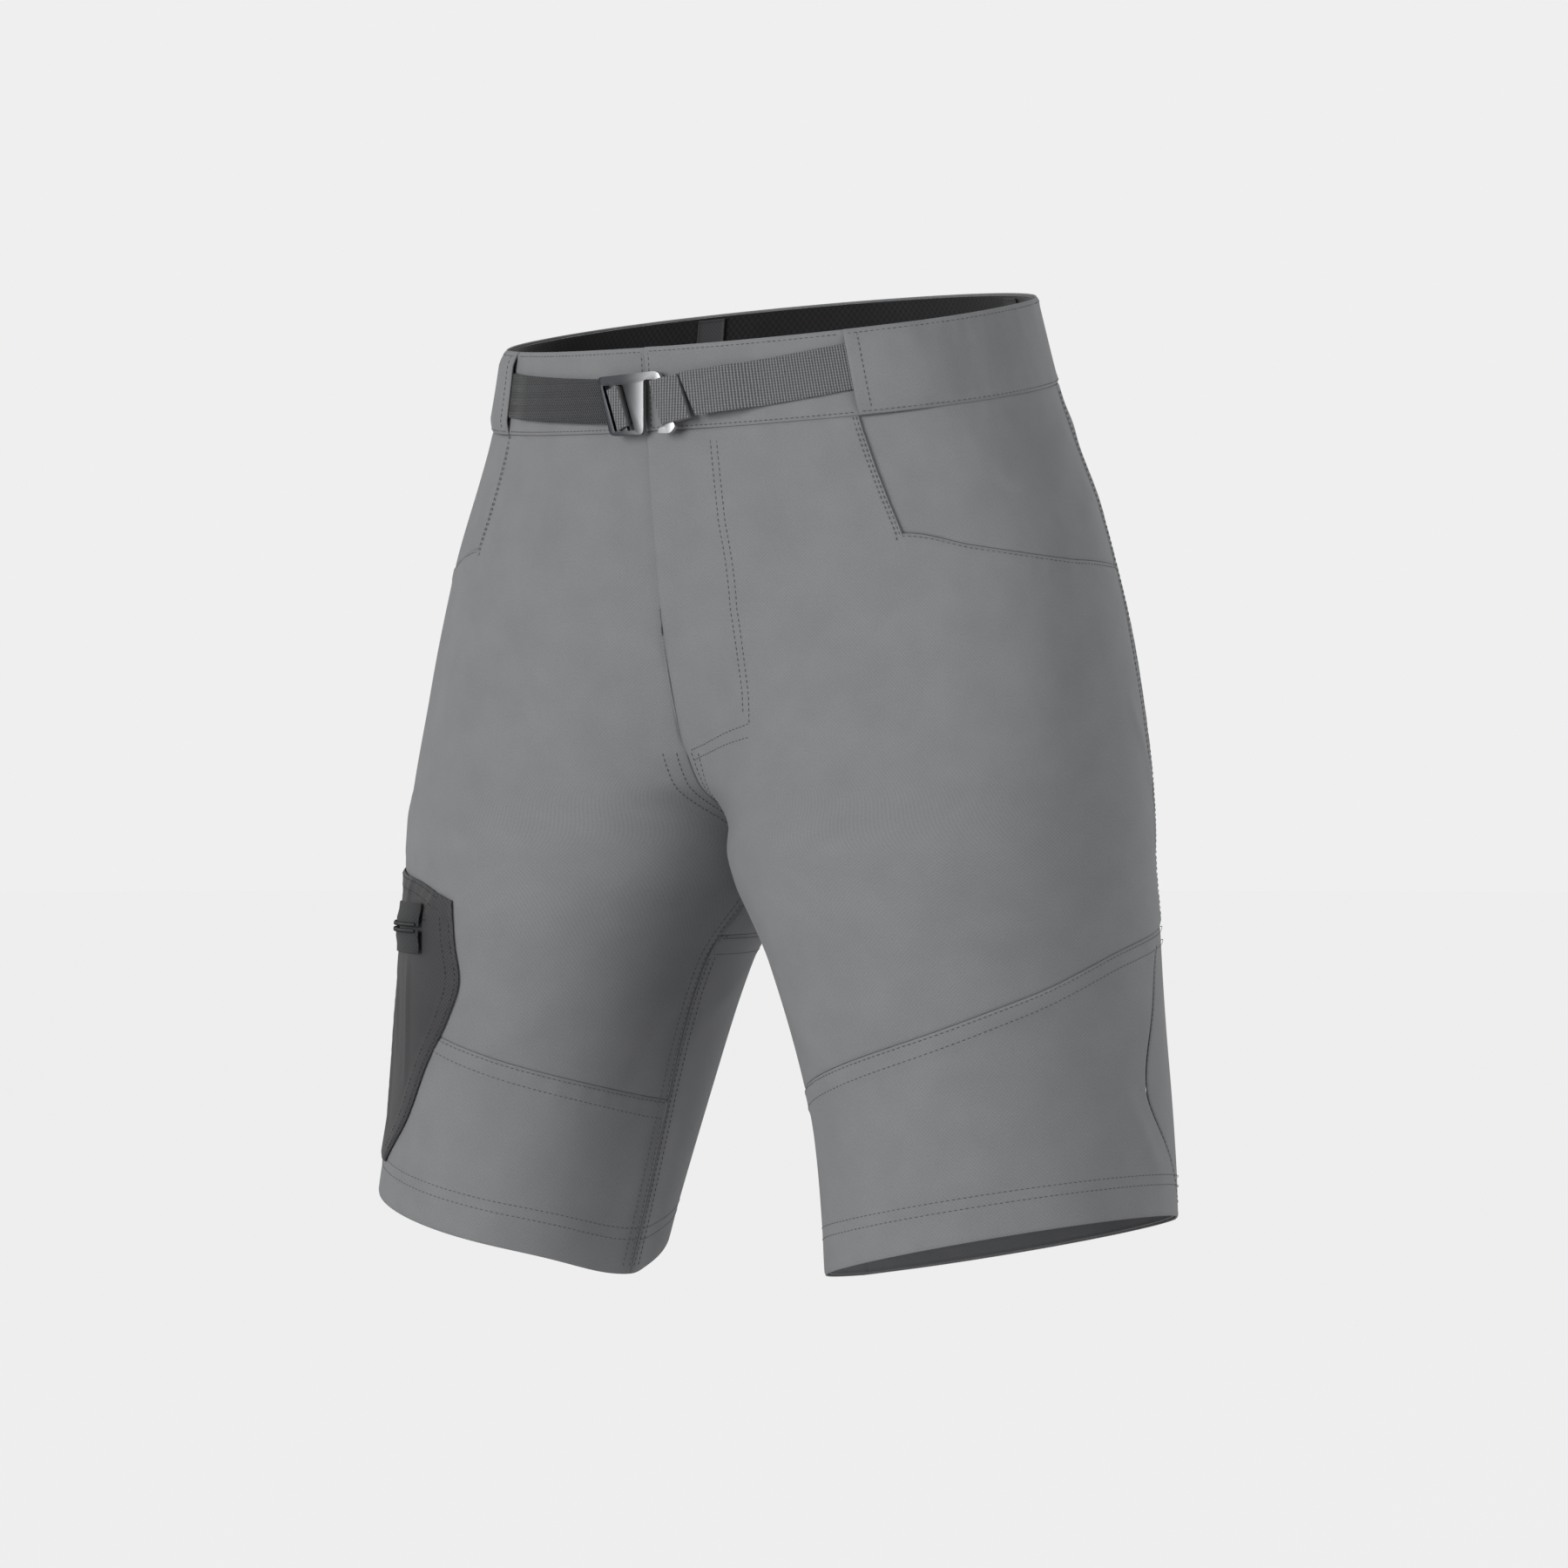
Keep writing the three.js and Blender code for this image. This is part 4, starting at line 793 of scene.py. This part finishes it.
strapPiece("belt_left", "strap_left", ribbedWebbing, 1, belt["leftStart"], belt["anchor"], belt["leftMouth"],
           lambda s: mix(belt["loopHeight"], belt["low"], ease((s - 0.09) / 0.06)))
strapPiece("belt_right", "strap_right", herringWebbing, -1, belt["rightStart"], belt["anchor"],
           belt["rightMouth"], lambda s: mix(belt["over"], belt["low"], ease((s - 0.19) / 0.04)), bends=True)
strapPiece("belt_tail", "strap_tail", herringWebbing, -1, belt["rightStart"], belt["tailEnd"],
           belt["rightMouth"], lambda s: belt["low"] + 0 * s, bends=True)
print("belt made")


# Rows are set in millimetres from the seams that they follow. A row's height is the cloth's there, with
# the plies that lie under it.
def acrossShare(distance):
    return distance / pattern["halfRound"]


def onPocket(s, q):
    return pocketHeight(s, q) + 0.3


for word, side in bothSides:
    for drop in (1.8, 9.5):
        stitchRow(side, curve(0.004, 0.6, lambda s, drop=drop: thighSeam(s) + drop), 0.4)
        stitchRow(side, curve(0.604, 0.996, seams["backThigh"] + drop), 0.4)
    for up in (23, 17.5):
        stitchRow(side, curve(0.004, 0.996, seams["hem"] - up), 0.0)
    for inset in (1.7, 4.0):
        mouthRow = [(s - acrossShare(inset), q) for s, q in zip(*seams["mouth"])]
        mouthRow.append((seams["mouth"][0][-1] - acrossShare(inset), seams["mouth"][1][-1] + inset))
        stitchRow(side, mouthRow, 0.3)
    stitchRow(side, curve(0.26, 0.598, lambda s: hipSeam(s) + 1.8), 0.3)
    for inset in (2.0, 6.5):
        stitchRow(side, [(seams["side"] + acrossShare(inset), q) for q in range(50, 332, 4)], 0.4)
        stitchRow(side, [(1 - inset / float(spread(0.99, q)), q) for q in range(50, 290, 4)], 0.3)
        stitchRow(side, [(inset / float(spread(0.01, q)), q) for q in range(296, 497, 4)], 0.1)
        stitchRow(side, [(1 - inset / float(spread(0.99, q)), q) for q in range(296, 497, 4)], 0.1)
    for s in (0.012, 0.024):
        stitchRow(side, [(s, q) for q in np.linspace(232, 288, 12)], 0.2, laps=True)
# The fly's curve, twice, and the two rows that close it at its foot.
stitchRow(1, [(0.08, 50), (0.078, 102), (0.085, 151), (0.101, 199), (0.103, 214)], 0.1, laps=True)
stitchRow(1, [(0.073, 50), (0.071, 102), (0.078, 151), (0.093, 196), (0.095, 209)], 0.1, laps=True)
stitchRow(1, [(0.103, 214), (0.075, 219), (0.037, 227), (0.012, 231)], 0.1, laps=True)
stitchRow(1, [(0.103, 222), (0.075, 226), (0.037, 233), (0.012, 237)], 0.1, laps=True)
for q in (2.6, seams["waist"] - 1.9):
    stitchRow(0, curve(tunnel["mouth"] + 0.004, 2 - tunnel["mouth"] - 0.004, q),
              lambda s, q: tunnelHeight(s, q) + bandRipple(s, q) + 0.3)
for side in (1, -1):
    stitchRow(side, [(0.262, q) for q in np.linspace(2, 45, 20)], lambda s, q: tunnelHeight(s, q) + 0.1)
    stitchRow(side, curve(0.006, 0.24, 2.6), 0.3, laps=True)
    stitchRow(side, curve(0.006, 0.24, seams["waist"] - 1.9), 0.2, laps=True)
    stitchRow(side, [(0.006, q) for q in np.linspace(2, 45, 20)], 0.1, laps=True)
for inset in (2.2, 8.5):
    frontRow = [(float(pocketFront(q)) + acrossShare(inset), q) for q in range(int(321 + inset), 472, 3)]
    stitchRow(-1, frontRow, onPocket, "dark")
    stitchRow(-1, curve(0.27, 0.598, lambda s, inset=inset: pocketTop(s) + inset), onPocket, "dark")
for q in (332, 350):  # along the zip
    stitchRow(-1, curve(0.288, 0.58, q), onPocket, "dark")
for out in (-1, 1):
    beside = [float(seams["side"] + out * kiteWidth(q)) + out * acrossShare(2.2) for q in range(346, 498, 4)]
    stitchRow(1, list(zip(beside, range(346, 498, 4))), 0.1)
sewThreads("cloth_stitches", "spun", sewingThread)
sewThreads("pocket_stitches", "dark", darkThread)
print("stitches made")

studio = {
    "ambient": 0.34, "floor": -0.95, "size": 30,
    "paper": "#efefef", "floorPaper": "#c8c8c8", "evenShare": 0.985,
    "azimuth": 37.8, "distance": 2.775, "side": 0.0101, "height": -0.2545, "lens": 115.4, "sensor": 36,
}
# Matt paper that the camera sees as one even tone, while it still bounces light up as paper does.
paper, paperTree, paperShader = newMaterial("studioPaper", Roughness=1.0)
paperShader.inputs["Base Color"].default_value = linear(studio["floorPaper"])
glow = addNode(paperTree, "ShaderNodeEmission", Color=linear(studio["paper"]), Strength=1.0)
seen = addNode(paperTree, "ShaderNodeLightPath").outputs["Is Camera Ray"]
share = addNode(paperTree, "ShaderNodeMath", {"operation": "MULTIPLY"}, in0=seen, in1=studio["evenShare"])
bright = addNode(paperTree, "ShaderNodeMixShader",
                 in0=share.outputs[0], in1=paperShader.outputs[0], in2=glow.outputs[0])
paperTree.links.new(bright.outputs[0], paperTree.nodes["Material Output"].inputs["Surface"])
bm = bmesh.new()
bmesh.ops.create_circle(bm, cap_ends=True, segments=96, radius=studio["size"])
bmesh.ops.translate(bm, verts=bm.verts[:], vec=(0, 0, studio["floor"]))
floorMesh = bpy.data.meshes.new("floor")
bm.to_mesh(floorMesh)
bm.free()
floorMesh.materials.append(paper)
floor = bpy.data.objects.new("floor", floorMesh)
bpy.context.scene.collection.objects.link(floor)

world = bpy.data.worlds.new("studio")
world.use_nodes = True
sky = world.node_tree.nodes["Background"]
sky.inputs["Color"].default_value = linear(studio["paper"])
ray = addNode(world.node_tree, "ShaderNodeLightPath").outputs["Is Camera Ray"]
level = addNode(world.node_tree, "ShaderNodeMapRange", Value=ray, To_Min=studio["ambient"], To_Max=1.0)
world.node_tree.links.new(level.outputs[0], sky.inputs["Strength"])
bpy.context.scene.world = world
bpy.context.scene.view_settings.view_transform = "Standard"


def softBox(name, power, size, place, aim=(0, 0, -0.25)):
    light = bpy.data.lights.new(name, "AREA")
    light.energy, light.size = power, size
    lamp = bpy.data.objects.new(name, light)
    lamp.location = place
    lamp.rotation_euler = (Vector(aim) - Vector(place)).to_track_quat("-Z", "Y").to_euler()
    bpy.context.scene.collection.objects.link(lamp)


softBox("key", 76, 1.8, (-0.6, -3.1, 0.5))
softBox("fill", 34, 2.2, (3.2, -0.6, 0.4))
softBox("side", 16, 2.2, (-3.0, 0.2, 0.6))
softBox("behind", 42, 2.2, (0.6, 3.2, 0.8))

turn = math.radians(studio["azimuth"])
cameraData = bpy.data.cameras.new("camera")
cameraData.lens, cameraData.sensor_width = studio["lens"], studio["sensor"]
camera = bpy.data.objects.new("camera", cameraData)
camera.location = (studio["distance"] * math.sin(turn) + studio["side"] * math.cos(turn),
                   -studio["distance"] * math.cos(turn) + studio["side"] * math.sin(turn), studio["height"])
camera.rotation_euler = (math.radians(90), 0, turn)
bpy.context.scene.collection.objects.link(camera)
bpy.context.scene.camera = camera
print("stage set")
